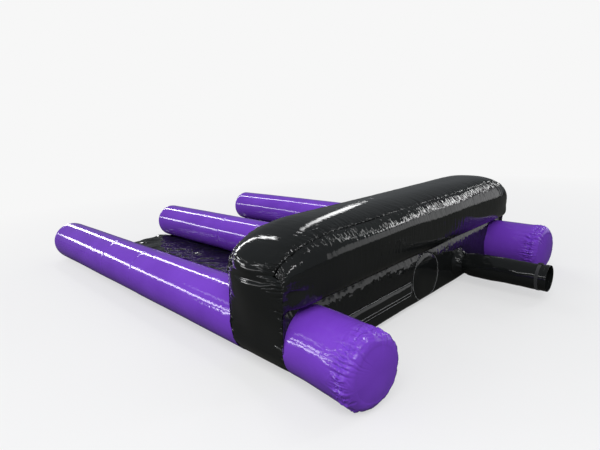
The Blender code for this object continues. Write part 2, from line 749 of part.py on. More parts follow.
def sleeve_parts(black, webbing, moulded, droop):
    mouth_x = PIVOT_X + SLEEVE_LENGTH + HEM_LENGTH
    hem_x = mouth_x - HEM_LENGTH
    body = turned(
        [(PIVOT_X + SLEEVE_START, SLEEVE_RADIUS), (hem_x - SEAM_GAP, SLEEVE_RADIUS)],
        SLEEVE_Y,
        SLEEVE_Z,
        SLEEVE_SEGMENTS,
    )
    add_object("blower_sleeve", body, black, SKIN, droop)
    hem_radius = SLEEVE_RADIUS + (HEM_THICKNESS - SKIN) / 2
    hem = turned([(hem_x, hem_radius), (mouth_x, hem_radius)], SLEEVE_Y, SLEEVE_Z, SLEEVE_SEGMENTS)
    add_object("sleeve_hem", hem, black, HEM_THICKNESS, droop)
    strap_x = mouth_x - STRAP_BACK
    strap_radius = SLEEVE_RADIUS + SEAM_GAP + STRAP_THICKNESS
    strap = turned(
        [(strap_x, strap_radius), (strap_x + STRAP_WIDTH, strap_radius)], SLEEVE_Y, SLEEVE_Z, SLEEVE_SEGMENTS
    )
    add_object("sleeve_strap", strap, webbing, STRAP_THICKNESS, droop)
    middle_x = strap_x + STRAP_WIDTH / 2
    low_z = SLEEVE_Z + strap_radius + SEAM_GAP
    across, along, thick = BUCKLE_SIZE
    frame = block(
        (middle_x - across / 2, SLEEVE_Y - along / 2, low_z),
        (middle_x + across / 2, SLEEVE_Y + along / 2, low_z + thick),
    )
    buckle = add_object("strap_buckle", frame, moulded, parent=droop)
    slot_across, slot_along = BUCKLE_SLOT
    for number, offset in enumerate((-along / 4, along / 4), 1):
        slot = block(
            (middle_x - slot_across / 2, SLEEVE_Y + offset - slot_along / 2, low_z - CUTTER_REACH),
            (middle_x + slot_across / 2, SLEEVE_Y + offset + slot_along / 2, low_z + CUTTER_REACH),
        )
        cut(buckle, add_cutter(f"buckle_slot_cutter_{number}", slot))


def build():
    clear_scene()
    purple = material("Purple coated fabric", (0.16, 0.06, 0.50), 0.18)
    black = material("Black coated fabric", (0.012, 0.012, 0.013), 0.16)
    moulded = material("Moulded plastic", (0.02, 0.02, 0.02), 0.4)
    slider_metal = material("Plated zip slider", (0.35, 0.35, 0.36), 0.3, 1.0)
    grip = material("Hook and loop tape", (0.015, 0.015, 0.016), 0.9)
    webbing = material("Strap webbing", (0.02, 0.02, 0.022), 0.8)

    for side, y in TUBES.items():
        lane_tube(side, y, purple)
    for side in ("near", "far"):
        stub(side, TUBES[side], purple)

    wall_top_panel(black)
    wall_side_panel("wall_front_panel", FRONT_SEAM_ANGLE, waist_angle(WAIST_FRONT_X), black)
    wall_side_panel("wall_rear_panel", REAR_SEAM_ANGLE, waist_angle(WAIST_REAR_X), black)
    wall_end_panel("wall_end_panel_near", -1, black)
    wall_end_panel("wall_end_panel_far", 1, black)
    base_front_panel(black)
    centre_end_disc(black)
    base_rear_panel("base_rear_panel_near", -1, black)
    base_rear_panel("base_rear_panel_far", 1, black)
    for side, sign in (("near", -1), ("far", 1)):
        corner_gusset(f"corner_gusset_front_{side}", sign, True, black)
        corner_gusset(f"corner_gusset_rear_{side}", sign, False, black)
    base_floor_panel(black)
    waist_baffle(black)
    lane_sheet("lane_sheet_near", -1, black)
    lane_sheet("lane_sheet_far", 1, black)

    slider_track = pivot("slider_track", (FACE_X, ZIP_FAR_Y, ZIP_Z))
    flap_hinge = pivot("flap_hinge", (FACE_X + FLAP_ROOT, (ZIP_NEAR_Y + ZIP_FAR_Y) / 2, FLAP_TOP_Z))
    zip_parts(black, moulded, slider_metal, slider_track)
    flap_parts(black, grip, flap_hinge)

    swing = pivot("sleeve_swing_axis", (PIVOT_X, SLEEVE_Y, SLEEVE_Z))
    droop = pivot("sleeve_droop_axis", (PIVOT_X, SLEEVE_Y, SLEEVE_Z))
    sleeve_collar(black)
    sleeve_neck(black, swing)
    sleeve_parts(black, webbing, moulded, droop)


build()
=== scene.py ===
import math

import bmesh
import bpy
import numpy as np
from mathutils import Matrix, Vector


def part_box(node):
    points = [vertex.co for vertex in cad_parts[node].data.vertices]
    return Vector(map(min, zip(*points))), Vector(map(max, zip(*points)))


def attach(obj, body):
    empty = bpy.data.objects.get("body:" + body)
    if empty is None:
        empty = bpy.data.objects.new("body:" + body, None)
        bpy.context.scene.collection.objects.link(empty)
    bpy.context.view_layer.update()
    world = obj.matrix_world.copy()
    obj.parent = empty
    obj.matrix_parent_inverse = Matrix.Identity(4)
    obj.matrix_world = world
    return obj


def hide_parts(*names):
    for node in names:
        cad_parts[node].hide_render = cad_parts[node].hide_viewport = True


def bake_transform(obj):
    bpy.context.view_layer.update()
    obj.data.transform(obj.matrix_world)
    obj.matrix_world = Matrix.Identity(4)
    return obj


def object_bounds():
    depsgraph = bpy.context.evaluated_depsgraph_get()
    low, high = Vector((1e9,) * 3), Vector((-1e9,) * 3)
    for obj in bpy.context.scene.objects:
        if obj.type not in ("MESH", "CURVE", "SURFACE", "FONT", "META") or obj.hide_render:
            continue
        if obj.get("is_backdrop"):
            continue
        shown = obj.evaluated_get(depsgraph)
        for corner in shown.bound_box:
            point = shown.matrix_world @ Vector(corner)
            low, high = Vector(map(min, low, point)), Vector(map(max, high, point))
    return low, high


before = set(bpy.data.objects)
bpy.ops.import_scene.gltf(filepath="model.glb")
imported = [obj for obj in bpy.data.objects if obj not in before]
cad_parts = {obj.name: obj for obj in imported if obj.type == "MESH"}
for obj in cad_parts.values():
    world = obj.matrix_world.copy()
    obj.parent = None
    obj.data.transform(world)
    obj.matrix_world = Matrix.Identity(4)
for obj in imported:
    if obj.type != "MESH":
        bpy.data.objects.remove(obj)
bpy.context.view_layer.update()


# The camera
# It stands past the near stub at head height, and looks back across the wall and down the lanes.

camera_data = bpy.data.cameras.new("camera")
camera_data.lens = 25.816
camera_data.sensor_width = 36.0
camera = bpy.data.objects.new("camera", camera_data)
bpy.context.scene.collection.objects.link(camera)
turn, dip, tilt = math.radians(45.352), math.radians(12.842), math.radians(-2.897)
camera.matrix_world = (
    Matrix.Translation((2.006, -3.168, 1.520))
    @ Matrix.Rotation(turn, 4, "Z")
    @ Matrix.Rotation(math.radians(90) - dip, 4, "X")
    @ Matrix.Rotation(tilt, 4, "Z")
)
bpy.context.scene.camera = camera


# The studio
# A plain pale floor that runs out of sight, a pale sky, long strip lights like those of a sports hall,
# which draw the long streaks on the tubes, and one wide soft lamp that lifts the colours.

bpy.context.scene.view_settings.view_transform = "Standard"


def plain_floor():
    """A pale, dull floor that fades into the pale background with distance."""
    made = bpy.data.materials.new("pale floor")
    made.use_nodes = True
    nodes, links = made.node_tree.nodes, made.node_tree.links
    shader = nodes["Principled BSDF"]
    shader.inputs["Base Color"].default_value = (0.86, 0.86, 0.86, 1)
    shader.inputs["Roughness"].default_value = 0.9
    shader.inputs["Specular IOR Level"].default_value = 0.1
    place = nodes.new("ShaderNodeTexCoord")
    away = nodes.new("ShaderNodeVectorMath")
    away.operation = "LENGTH"
    links.new(place.outputs["Object"], away.inputs[0])
    fade = nodes.new("ShaderNodeMapRange")
    fade.inputs["From Min"].default_value = 1.5
    fade.inputs["From Max"].default_value = 9.0
    fade.inputs["To Min"].default_value = 0.55
    links.new(away.outputs["Value"], fade.inputs["Value"])
    glow = nodes.new("ShaderNodeEmission")
    glow.inputs["Color"].default_value = (0.93, 0.93, 0.93, 1)
    faded = nodes.new("ShaderNodeMixShader")
    links.new(fade.outputs["Result"], faded.inputs["Fac"])
    links.new(shader.outputs[0], faded.inputs[1])
    links.new(glow.outputs[0], faded.inputs[2])
    dull = nodes.new("ShaderNodeBsdfDiffuse")
    dull.inputs["Color"].default_value = (0.10, 0.10, 0.09, 1)
    path = nodes.new("ShaderNodeLightPath")
    mixed = nodes.new("ShaderNodeMixShader")
    links.new(path.outputs["Is Camera Ray"], mixed.inputs["Fac"])
    links.new(dull.outputs[0], mixed.inputs[1])
    links.new(faded.outputs[0], mixed.inputs[2])
    links.new(mixed.outputs[0], nodes["Material Output"].inputs["Surface"])
    return made


floor_shape = bmesh.new()
bmesh.ops.create_grid(floor_shape, x_segments=1, y_segments=1, size=60)
bmesh.ops.translate(floor_shape, vec=(0, 0, -0.001), verts=floor_shape.verts[:])
floor_mesh = bpy.data.meshes.new("floor")
floor_shape.to_mesh(floor_mesh)
floor_shape.free()
floor_mesh.materials.append(plain_floor())
floor = bpy.data.objects.new("floor", floor_mesh)
bpy.context.scene.collection.objects.link(floor)
floor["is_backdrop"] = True


def pale_sky():
    sky = bpy.data.worlds.new("pale sky")
    sky.use_nodes = True
    nodes, links = sky.node_tree.nodes, sky.node_tree.links
    lit = nodes["Background"]
    lit.inputs["Color"].default_value = (0.93, 0.95, 1.0, 1)
    lit.inputs["Strength"].default_value = 0.42
    mirrored = nodes.new("ShaderNodeBackground")
    mirrored.inputs["Color"].default_value = (0.9, 0.95, 1.0, 1)
    mirrored.inputs["Strength"].default_value = 0.16
    seen = nodes.new("ShaderNodeBackground")
    seen.inputs["Color"].default_value = (0.93, 0.93, 0.93, 1)
    seen.inputs["Strength"].default_value = 1.0
    path = nodes.new("ShaderNodeLightPath")
    glossy_mix = nodes.new("ShaderNodeMixShader")
    links.new(path.outputs["Is Glossy Ray"], glossy_mix.inputs["Fac"])
    links.new(lit.outputs[0], glossy_mix.inputs[1])
    links.new(mirrored.outputs[0], glossy_mix.inputs[2])
    seen_mix = nodes.new("ShaderNodeMixShader")
    links.new(path.outputs["Is Camera Ray"], seen_mix.inputs["Fac"])
    links.new(glossy_mix.outputs[0], seen_mix.inputs[1])
    links.new(seen.outputs[0], seen_mix.inputs[2])
    links.new(seen_mix.outputs[0], nodes["World Output"].inputs["Surface"])
    bpy.context.scene.world = sky


pale_sky()


def hall_lamp(name, place, aim, size, brightness, long_way, mirrored):
    """A rectangular lamp at place that faces aim, of size (along, across), with its length along long_way."""
    data = bpy.data.lights.new(name, "AREA")
    data.shape = "RECTANGLE"
    data.size, data.size_y = size
    data.energy = brightness * math.pi * size[0] * size[1]
    made = bpy.data.objects.new(name, data)
    bpy.context.scene.collection.objects.link(made)
    back = (Vector(place) - Vector(aim)).normalized()
    side = (Vector(long_way) - back * back.dot(Vector(long_way))).normalized()
    facing = Matrix((side, back.cross(side), back)).transposed().to_4x4()
    made.matrix_world = Matrix.Translation(place) @ facing
    made.visible_camera = False
    made.visible_glossy = mirrored


hall_lamps = (
    ("ceiling_strip", (-15.0, 2.2, 8.0), (-1.0, 0.0, 0.3), (15.0, 0.9), 13.0, (1, 0, 0), True),
    ("cross_strip", (-4.6, 4.5, 5.2), (0.1, -0.8, 0.9), (6.0, 0.5), 4.5, (-9.2, 13.1, 0), True),
    ("low_strip", (-9.4, -6.6, 2.5), (-1.6, -1.5, 0.3), (7.0, 0.55), 11.0, (5.7, -3.9, 0.2), True),
    ("stub_strip", (-6.6, -8.2, 1.3), (0.5, -1.6, 0.3), (2.6, 0.5), 12.0, (1.0, -0.8, 0), True),
    ("side_low_strip", (-2.5, -9.5, 1.0), (0.0, -1.7, 0.4), (7.0, 1.0), 1.8, (1, 0, 0), True),
    ("side_high_strip", (-7.8, -7.2, 5.2), (0.0, -1.7, 0.5), (4.0, 0.4), 3.5, (1.0, -0.9, 0), True),
    ("far_strip", (3.0, 9.0, 4.4), (0.2, 0.0, 0.9), (6.0, 0.6), 9.0, (1, 0, 0), True),
    ("far_high_strip", (3.2, 4.0, 6.6), (0.3, -0.6, 0.9), (6.0, 0.35), 8.0, (0.6, 1, 0), True),
    ("far_low_strip", (6.5, 8.0, 1.9), (0.4, -0.4, 0.6), (9.0, 3.2), 0.8, (1.2, -0.9, 0), True),
    ("side_mid", (-2.0, -9.1, 4.6), (0.6, -1.6, 0.4), (4.0, 0.5), 8.0, (1, 0, 0), True),
    ("near_high", (4.4, -3.7, 4.6), (0.8, -1.6, 0.4), (2.6, 0.7), 13.0, (0, 1, 0), True),
    ("wide_soft", (3.0, -5.0, 6.0), (0.0, -0.6, 0.4), (5.0, 5.0), 2.9, (1, 0, 0), False),
)
for settings in hall_lamps:
    hall_lamp(*settings)


# Lane tubes
# Three long air tubes of purple coated fabric. Each is a rolled main panel, a middle and an end panel
# lapped and welded in rings, and a round cap sewn into the open end, which the pressure rounds over.


def finish(name):
    """A new material, with its nodes, links and main shader."""
    made = bpy.data.materials.new(name)
    made.use_nodes = True
    tree = made.node_tree
    return made, tree.nodes, tree.links, tree.nodes["Principled BSDF"]


def mottle(nodes, links, place, scale, detail=2.0):
    """Soft patches over a place."""
    noise = nodes.new("ShaderNodeTexNoise")
    noise.inputs["Scale"].default_value = scale
    noise.inputs["Detail"].default_value = detail
    links.new(place, noise.inputs["Vector"])
    return noise.outputs["Fac"]


def ribs(nodes, links, place, scale, direction="X", distortion=0.0):
    """Even ribs over a place, like threads that lie side by side."""
    wave = nodes.new("ShaderNodeTexWave")
    wave.bands_direction = direction
    wave.inputs["Scale"].default_value = scale
    wave.inputs["Distortion"].default_value = distortion
    links.new(place, wave.inputs["Vector"])
    return wave.outputs["Fac"]


def two_shades(nodes, links, pattern, stops, colours):
    """Colours a pattern from one shade to another, between two of its values."""
    shades = nodes.new("ShaderNodeValToRGB")
    for element, stop, colour in zip(shades.color_ramp.elements, stops, colours):
        element.position = stop
        element.color = (*colour, 1)
    links.new(pattern, shades.inputs["Fac"])
    return shades.outputs["Color"]


def raised(nodes, links, pattern, strength, depth, under=None):
    """Raises the surface by a pattern, over another raised pattern if one is given."""
    bump = nodes.new("ShaderNodeBump")
    bump.inputs["Strength"].default_value = strength
    bump.inputs["Distance"].default_value = depth
    links.new(pattern, bump.inputs["Height"])
    if under is not None:
        links.new(under, bump.inputs["Normal"])
    return bump.outputs["Normal"]


def coated_fabric(name, colour, deep_colour, roughness):
    """Glossy coated fabric: two shades in soft clouds, a fine weave under the coat and uneven gloss."""
    made, nodes, links, shader = finish(name)
    cloth = nodes.new("ShaderNodeUVMap")
    cloth.uv_map = "cloth"
    place = cloth.outputs["UV"]
    clouds = mottle(nodes, links, place, 3.0, 4.0)
    clouded = two_shades(nodes, links, clouds, (0.3, 0.7), (deep_colour, colour))
    links.new(clouded, shader.inputs["Base Color"])
    gloss = nodes.new("ShaderNodeMapRange")
    gloss.inputs["From Min"].default_value = 0.35
    gloss.inputs["From Max"].default_value = 0.75
    gloss.inputs["To Min"].default_value = roughness
    gloss.inputs["To Max"].default_value = roughness * 1.9
    links.new(mottle(nodes, links, place, 14.0, 5.0), gloss.inputs["Value"])
    links.new(gloss.outputs["Result"], shader.inputs["Roughness"])
    weave = nodes.new("ShaderNodeMath")
    weave.operation = "MAXIMUM"
    for threads, direction in enumerate("XY"):
        links.new(ribs(nodes, links, place, 240.0, direction), weave.inputs[threads])
    fine = raised(nodes, links, weave.outputs[0], 0.25, 0.00006)
    uneven = raised(nodes, links, mottle(nodes, links, place, 55.0, 3.0), 0.4, 0.0004, fine)
    links.new(uneven, shader.inputs["Normal"])
    return made


purple = coated_fabric("purple coated fabric", (0.225, 0.066, 0.67), (0.190, 0.052, 0.58), 0.065)

tube_low, tube_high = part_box("near_lane_tube")
tube_radius = (tube_high.z - tube_low.z) / 2
tube_pitch = -(tube_low.y + tube_high.y) / 2
tubes = {"near": -tube_pitch, "centre": 0.0, "far": tube_pitch}
girth = 2 * math.pi * tube_radius
WAIST_REAR = np.array((-0.215, 0.477))  # (x, z) of the wall's rear waist seam
wall_rear = np.array(((-0.21, 0.0), (-0.235, 0.09), (-0.235, 0.37), WAIST_REAR))

NO_REPEAT = 4096  # cells of noise along a line before it repeats, where it doesn't run round a ring
CLOTH_CELLS = 512  # the same for the noise over a cloth, each way


def smoothed(share):
    return share * share * (3 - 2 * share)


def line_noise(places, spacing, seed, around=None):
    """Smooth values from -1 to 1 along a line, a new one each spacing, that close up on a ring."""
    count = max(3, round(around / spacing)) if around else NO_REPEAT
    cells = places / around * count if around else places / spacing
    values = np.random.default_rng(seed).uniform(-1, 1, count)
    first = np.floor(cells).astype(int)
    share = smoothed(cells - first)
    return values[first % count] * (1 - share) + values[(first + 1) % count] * share


def cloth_noise(u, v, size_u, size_v, seed, around=None):
    """Smooth values from -1 to 1 over a cloth, in cells of size_u by size_v. It closes up in v on a ring."""
    rows = max(3, round(around / size_v)) if around else CLOTH_CELLS
    values = np.random.default_rng(seed).uniform(-1, 1, (CLOTH_CELLS, rows))
    cell_u = u / size_u
    cell_v = v / around * rows if around else v / size_v
    first_u, first_v = np.floor(cell_u).astype(int), np.floor(cell_v).astype(int)
    share_u, share_v = smoothed(cell_u - first_u), smoothed(cell_v - first_v)
    left, right = first_u % CLOTH_CELLS, (first_u + 1) % CLOTH_CELLS
    down, up = first_v % rows, (first_v + 1) % rows
    low = values[left, down] * (1 - share_u) + values[right, down] * share_u
    high = values[left, up] * (1 - share_u) + values[right, up] * share_u
    return low * (1 - share_v) + high * share_v


def seam_folds(along, away, seed, spacing, depth, reach, around=None):
    """Folds square to a seam: sharp, slightly crooked creases between lobes, which run out unevenly.

    Spacing is from one fold to the next, depth from crease to lobe, and reach how far from the seam they run.
    """
    away = np.maximum(away, 0)
    along = along + 0.5 * spacing * cloth_noise(away, along, 2 * spacing, 3 * spacing, seed + 40, around)
    wave = np.abs(line_noise(along, spacing, seed, around))
    longer = 0.5 + 0.5 * line_noise(along, 2.6 * spacing, seed + 1, around)
    length = reach * (0.3 + 1.1 * longer**2)
    fade = np.exp(-((away / length) ** 1.5))
    return depth * (wave**0.55 - 0.75) * fade


def sewn(away):
    """Keeps a panel's folds off the sewn line itself, where it meets a panel that folds differently."""
    return 1 - np.exp(-np.maximum(away, 0) / 0.006)


def crumple(u, v, size, seed):
    """Crumpled cloth: crease lines that cross each other between little facets, from -1 to 1."""
    bent_u = u + 0.5 * size * cloth_noise(u, v, 2 * size, 2 * size, seed + 8)
    bent_v = v + 0.5 * size * cloth_noise(u, v, 2 * size, 2 * size, seed + 9)
    total = 0.0
    for number in range(4):
        heading = math.pi * (number + 0.3) / 4
        across = bent_u * math.cos(heading) + bent_v * math.sin(heading)
        along = bent_v * math.cos(heading) - bent_u * math.sin(heading)
        total = total + 1 - 2 * np.abs(cloth_noise(across, along, size, 2.2 * size, seed + number))
    return total / 4


def tucked(away, depth, width):
    """How far a seam draws the cloth in, at a distance from it."""
    return -depth * np.exp(-np.maximum(away, 0) / width)


def points_of(shape):
    return np.array([vert.co[:] for vert in shape.verts])


def rows_of(*columns):
    """Puts columns of values, or single values, side by side: a row for each point."""
    return np.stack(np.broadcast_arrays(*columns), axis=1)


def add_fabric(name, shape, points, cloth, height, material, inside):
    """Makes a fabric piece: moves the bmesh's points, faces it away from inside, then raises it by height.

    Cloth holds each point's place on the flat cloth, in metres, for the weave.
    """
    for vert, point in zip(shape.verts, points.tolist()):
        vert.co = point
    mesh = bpy.data.meshes.new(name)
    shape.to_mesh(mesh)
    shape.free()
    centres = np.empty(len(mesh.polygons) * 3)
    normals = np.empty(len(mesh.polygons) * 3)
    mesh.polygons.foreach_get("center", centres)
    mesh.polygons.foreach_get("normal", normals)
    centres, normals = centres.reshape(-1, 3), normals.reshape(-1, 3)
    if (normals * (centres - inside(centres))).sum() < 0:
        mesh.flip_normals()
    outward = np.empty(len(mesh.vertices) * 3)
    mesh.vertices.foreach_get("normal", outward)
    raised_points = points + outward.reshape(-1, 3) * np.asarray(height)[:, None]
    mesh.vertices.foreach_set("co", raised_points.ravel())
    corners = np.empty(len(mesh.loops), int)
    mesh.loops.foreach_get("vertex_index", corners)
    layer = mesh.uv_layers.new(name="cloth")
    layer.data.foreach_set("uv", cloth[corners].ravel())
    mesh.materials.append(material)
    mesh.polygons.foreach_set("use_smooth", [True] * len(mesh.polygons))
    mesh.update()
    made = bpy.data.objects.new(name, mesh)
    bpy.context.scene.collection.objects.link(made)
    return made


def rest_on_floor(piece, lowest=0.0015):
    """Flattens what would lie below the floor, where a piece's weight rests."""
    places = np.empty(len(piece.data.vertices) * 3)
    piece.data.vertices.foreach_get("co", places)
    heights = places[2::3]
    places[2::3] = np.maximum(heights, lowest)
    piece.data.vertices.foreach_set("co", places)


def axis_at(y, z):
    """For a round piece: a function that finds the place on its axis level with each place."""
    return lambda places: rows_of(places[:, 0], y, z)


def spun(profile, segments):
    """A bmesh spun about the X axis from (x, radius) points."""
    shape = bmesh.new()
    line = [shape.verts.new((x, 0, radius)) for x, radius in profile]
    edges = [shape.edges.new(pair) for pair in zip(line, line[1:])]
    bmesh.ops.spin(
        shape, geom=line + edges, cent=(0, 0, 0), axis=(1, 0, 0),
        angle=2 * math.pi, steps=segments, use_merge=True,
    )
    bmesh.ops.remove_doubles(shape, verts=shape.verts[:], dist=1e-6)
    return shape


def rolled(low_x, high_x, radius, steps, segments):
    """A bmesh tube about the X axis."""
    return spun([(low_x + (high_x - low_x) * i / steps, radius) for i in range(steps + 1)], segments)


def round_places(shape, radius):
    """A spun shape's points, their angles round its axis, and their runs round a ring of that radius."""
    flat = points_of(shape)
    angle = np.arctan2(flat[:, 2], flat[:, 1])
    return flat, angle, angle % (2 * math.pi) * radius


def tube_ripple(x, arc, seed):
    """The slight unevenness of a blown tube: broad waves, and short cells that break up its highlights."""
    broad = 0.0016 * cloth_noise(x, arc, 0.55, 0.24, seed, girth)
    bunch = 0.3 + 0.7 * np.clip(cloth_noise(x, arc, 0.35, 0.3, seed + 3, girth) + 0.4, 0, 1)
    cells = 0.00075 * bunch * cloth_noise(x, arc, 0.014, 0.055, seed + 1, girth)
    rings = 0.00014 * line_noise(x, 0.011, seed + 2)
    return broad + cells + rings


def purple_piece(node, shape, points, cloth, height, y):
    """A purple piece of the envelope, about the axis of the tube at y."""
    made = add_fabric(f"{node}_fabric", shape, points, cloth, height, purple, axis_at(y, tube_radius))
    rest_on_floor(made)
    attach(made, "envelope")
    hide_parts(node)


RING_TUCK = (0.0016, 0.005)  # depth and width of the line at a welded ring
RING_FOLDS = (0.03, 0.0005, 0.02)  # spacing, depth and reach of the folds beside it
TUBE_SEGMENTS = 144


def lane_panel(side, node, seed, steps):
    """One rolled panel of a lane tube, between its ring seams."""
    low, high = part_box(node)
    shape = rolled(low.x, high.x, tube_radius, steps, TUBE_SEGMENTS)
    flat, angle, arc = round_places(shape, tube_radius)
    share = (flat[:, 0] - low.x) / (high.x - low.x)
    meets_wall = node.endswith("lane_tube")
    end_x = np.full(len(flat), high.x)
    if meets_wall:
        end_x = np.interp(tube_radius * (1 + np.sin(angle)), wall_rear[:, 1], wall_rear[:, 0]) + 0.012
    x = low.x + share * (end_x - low.x)
    from_low, from_high = x - low.x, end_x - x
    height = tube_ripple(x, arc, seed)
    height += tucked(from_low, *RING_TUCK)
    height += seam_folds(arc, from_low, seed + 5, *RING_FOLDS, girth)
    if meets_wall:
        height += seam_folds(arc, from_high, seed + 6, 0.035, 0.003, 0.05, girth)
    else:
        height += tucked(from_high, *RING_TUCK)
        height += seam_folds(arc, from_high, seed + 6, *RING_FOLDS, girth)
    points = rows_of(x, tubes[side] + flat[:, 1], tube_radius + flat[:, 2])
    purple_piece(node, shape, points, rows_of(x, arc), height, tubes[side])


for number, side in enumerate(tubes):
    lane_panel(side, f"{side}_lane_tube", 100 + 10 * number, 190)
    lane_panel(side, f"{side}_lane_tube_middle_panel", 140 + 10 * number, 60)
    lane_panel(side, f"{side}_lane_tube_end_panel", 180 + 10 * number, 150)

CAP_EDGE = 0.07  # radius that the pressure gives a cap's edge
CAP_CROWN = 0.016


def cap_profile(rings_edge, rings_face):
    """(x, radius) points of a cap, from its seam to its middle, which is at x = 0."""
    profile = []
    for step in range(rings_edge + 1):
        angle = step / rings_edge * math.pi / 2
        x = -CAP_CROWN - CAP_EDGE * (1 - math.sin(angle))
        profile.append((x, tube_radius - CAP_EDGE * (1 - math.cos(angle))))
    face = profile[-1][1]
    for step in range(1, rings_face + 1):
        share = 1 - step / rings_face
        profile.append((-CAP_CROWN * share**2, face * share))
    return profile


def from_cap_seam(flat, profile):
    """How far each point of a cap is from its seam, over the cloth."""
    line = np.array(profile)
    run = np.concatenate([[0], np.cumsum(np.hypot(np.diff(line[:, 0]), np.diff(line[:, 1])))])
    return np.interp(-np.hypot(flat[:, 1], flat[:, 2]), -line[:, 1], run)


for number, side in enumerate(tubes):
    y = tubes[side]
    node = f"{side}_lane_tube_cap"
    profile = cap_profile(22, 30)
    shape = spun(profile, TUBE_SEGMENTS)
    flat, angle, arc = round_places(shape, tube_radius)
    away = from_cap_seam(flat, profile)
    height = tucked(away, 0.002, 0.006)
    height += seam_folds(arc, away, 310 + 10 * number, 0.034, 0.0022, 0.045, girth)
    height += seam_folds(arc, away, 311 + 10 * number, 0.014, 0.0008, 0.02, girth)
    points = rows_of(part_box(node)[0].x - flat[:, 0], y + flat[:, 1], tube_radius + flat[:, 2])
    purple_piece(node, shape, points, flat[:, 1:3], height, y)


# Stubs
# The two outer tubes run out past the wall as short stubs. Each ends in a round cap sewn in with a
# gathered seam, so that deep folds stand square to the seam on both sides. They lean to the near side.

STUB_TURN = math.radians(-5.8)
STUB_BEND = 0.16  # length over which a stub turns
STUB_END_X = 0.83
STUB_SEGMENTS = 360  # round the stub and its cap, so that their gathers meet at the seam
face_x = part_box("base_front_panel")[1].x
stub_seam_x = STUB_END_X - CAP_EDGE - CAP_CROWN
WAIST_FRONT = np.array((0.25, 0.462))  # (x, z) of the wall's front waist seam
wall_front = np.array(
    ((0.21, 0.0), (0.265, 0.024), (face_x, 0.052), (face_x, 0.36), (0.272, 0.42), WAIST_FRONT)
)


def lean(points, y):
    """Turns what lies past the wall's face towards the near side, as the stubs are sewn."""
    reach = points[:, 0] - face_x
    curved = np.clip(reach, 0, STUB_BEND)
    heading = STUB_TURN * curved / STUB_BEND
    rest = np.maximum(reach - curved, 0)
    middle_x = face_x + curved + rest * np.cos(heading)
    middle_y = y + curved * np.sin(heading / 2) + rest * np.sin(heading)
    side = points[:, 1] - y
    out = reach > 0
    points[:, 0] = np.where(out, middle_x - side * np.sin(heading), points[:, 0])
    points[:, 1] = np.where(out, middle_y + side * np.cos(heading), points[:, 1])
    return points


def cap_folds(arc, away, seed):
    """The gathered seam's folds, of three sizes, which a stub and its cap share. One side has the deepest."""
    deep = 0.6 + 0.4 * np.cos(arc / tube_radius - math.radians(200))
    folds = seam_folds(arc, away, seed, 0.030, 0.019, 0.080, girth) * deep
    folds += seam_folds(arc, away, seed + 2, 0.016, 0.0160, 0.050, girth)
    folds += seam_folds(arc, away, seed + 4, 0.0085, 0.0085, 0.032, girth)
    folds += 0.0120 * crumple(away, arc, 0.020, seed + 11) * np.exp(-((away / 0.06) ** 2)) * sewn(away)
    return folds


for number, side in enumerate(("near", "far")):
    y = tubes[side]
    seed = 400 + 20 * number
    shape = rolled(face_x, stub_seam_x, tube_radius, 120, STUB_SEGMENTS)
    flat, angle, arc = round_places(shape, tube_radius)
    root_x = np.interp(tube_radius * (1 + np.sin(angle)), wall_front[:, 1], wall_front[:, 0]) - 0.01
    share = np.clip((flat[:, 0] - face_x) / (stub_seam_x - face_x), 0, 1)
    x = root_x + (1 - (1 - share) ** 1.35) * (stub_seam_x - root_x)
    height = 0.8 * tube_ripple(x, arc, seed + 1)
    height += cap_folds(arc, stub_seam_x - x, seed)
    height += seam_folds(arc, x - root_x, seed + 9, 0.05, 0.002, 0.05, girth)
    points = lean(rows_of(x, y + flat[:, 1], tube_radius + flat[:, 2]), y)
    purple_piece(f"{side}_stub", shape, points, rows_of(x, arc), height, y)

    profile = cap_profile(44, 40)
    shape = spun(profile, STUB_SEGMENTS)
    flat, angle, arc = round_places(shape, tube_radius)
    away = from_cap_seam(flat, profile)
    height = cap_folds(arc, away, seed)
    height += 0.004 * cloth_noise(flat[:, 1], flat[:, 2], 0.16, 0.16, seed + 7) * np.clip(away / 0.1, 0, 1)
    points = lean(rows_of(STUB_END_X + flat[:, 0], y + flat[:, 1], tube_radius + flat[:, 2]), y)
    purple_piece(f"{side}_stub_cap", shape, points, flat[:, 1:3], height, y)


# Wall cushion
# The black air chamber over the base: a top panel that rolls down at both ends to a ridge, a front and a
# rear panel, and an end panel on each side. The sewn seams draw in, and the cloth stands in folds along them.

black = coated_fabric("black coated fabric", (0.0115, 0.0125, 0.0125), (0.008, 0.009, 0.009), 0.05)

CUSHION_X, CUSHION_Z = 0.03, 0.69
CUSHION_FRONT, CUSHION_REAR = 0.375, 0.325
CUSHION_UP, CUSHION_DOWN = 0.25, 0.235
UPPER_POWER, LOWER_POWER = 2.6, 4.0
FRONT_SEAM, REAR_SEAM = math.radians(46), math.radians(134)
END_Y = tube_pitch + tube_radius
END_BULGE = 0.07
SHOULDER_LENGTH, SHOULDER_ARC = 0.505, 0.60
SHOULDER_Y = END_Y - SHOULDER_LENGTH
HALF_RUN = SHOULDER_Y + SHOULDER_ARC  # over the cloth, from the wall's middle to its end
SHOULDER_Z = 0.62
END_HEIGHT, END_DEPTH = 0.30, 0.74


def eased(share):
    return smoothed(np.clip(share, 0, 1))


def cushion_section(angle):
    """(x, z) on the cushion's section: angle 0 is its front and a right angle its crown."""
    cosine, sine = np.cos(angle), np.sin(angle)
    power = np.where(sine >= 0, 2 / UPPER_POWER, 2 / LOWER_POWER)
    depth = np.where(cosine >= 0, CUSHION_FRONT, CUSHION_REAR)
    height = np.where(sine >= 0, CUSHION_UP, CUSHION_DOWN)
    x = CUSHION_X + np.sign(cosine) * depth * np.abs(cosine) ** power
    z = CUSHION_Z + np.sign(sine) * height * np.abs(sine) ** power
    return x, z


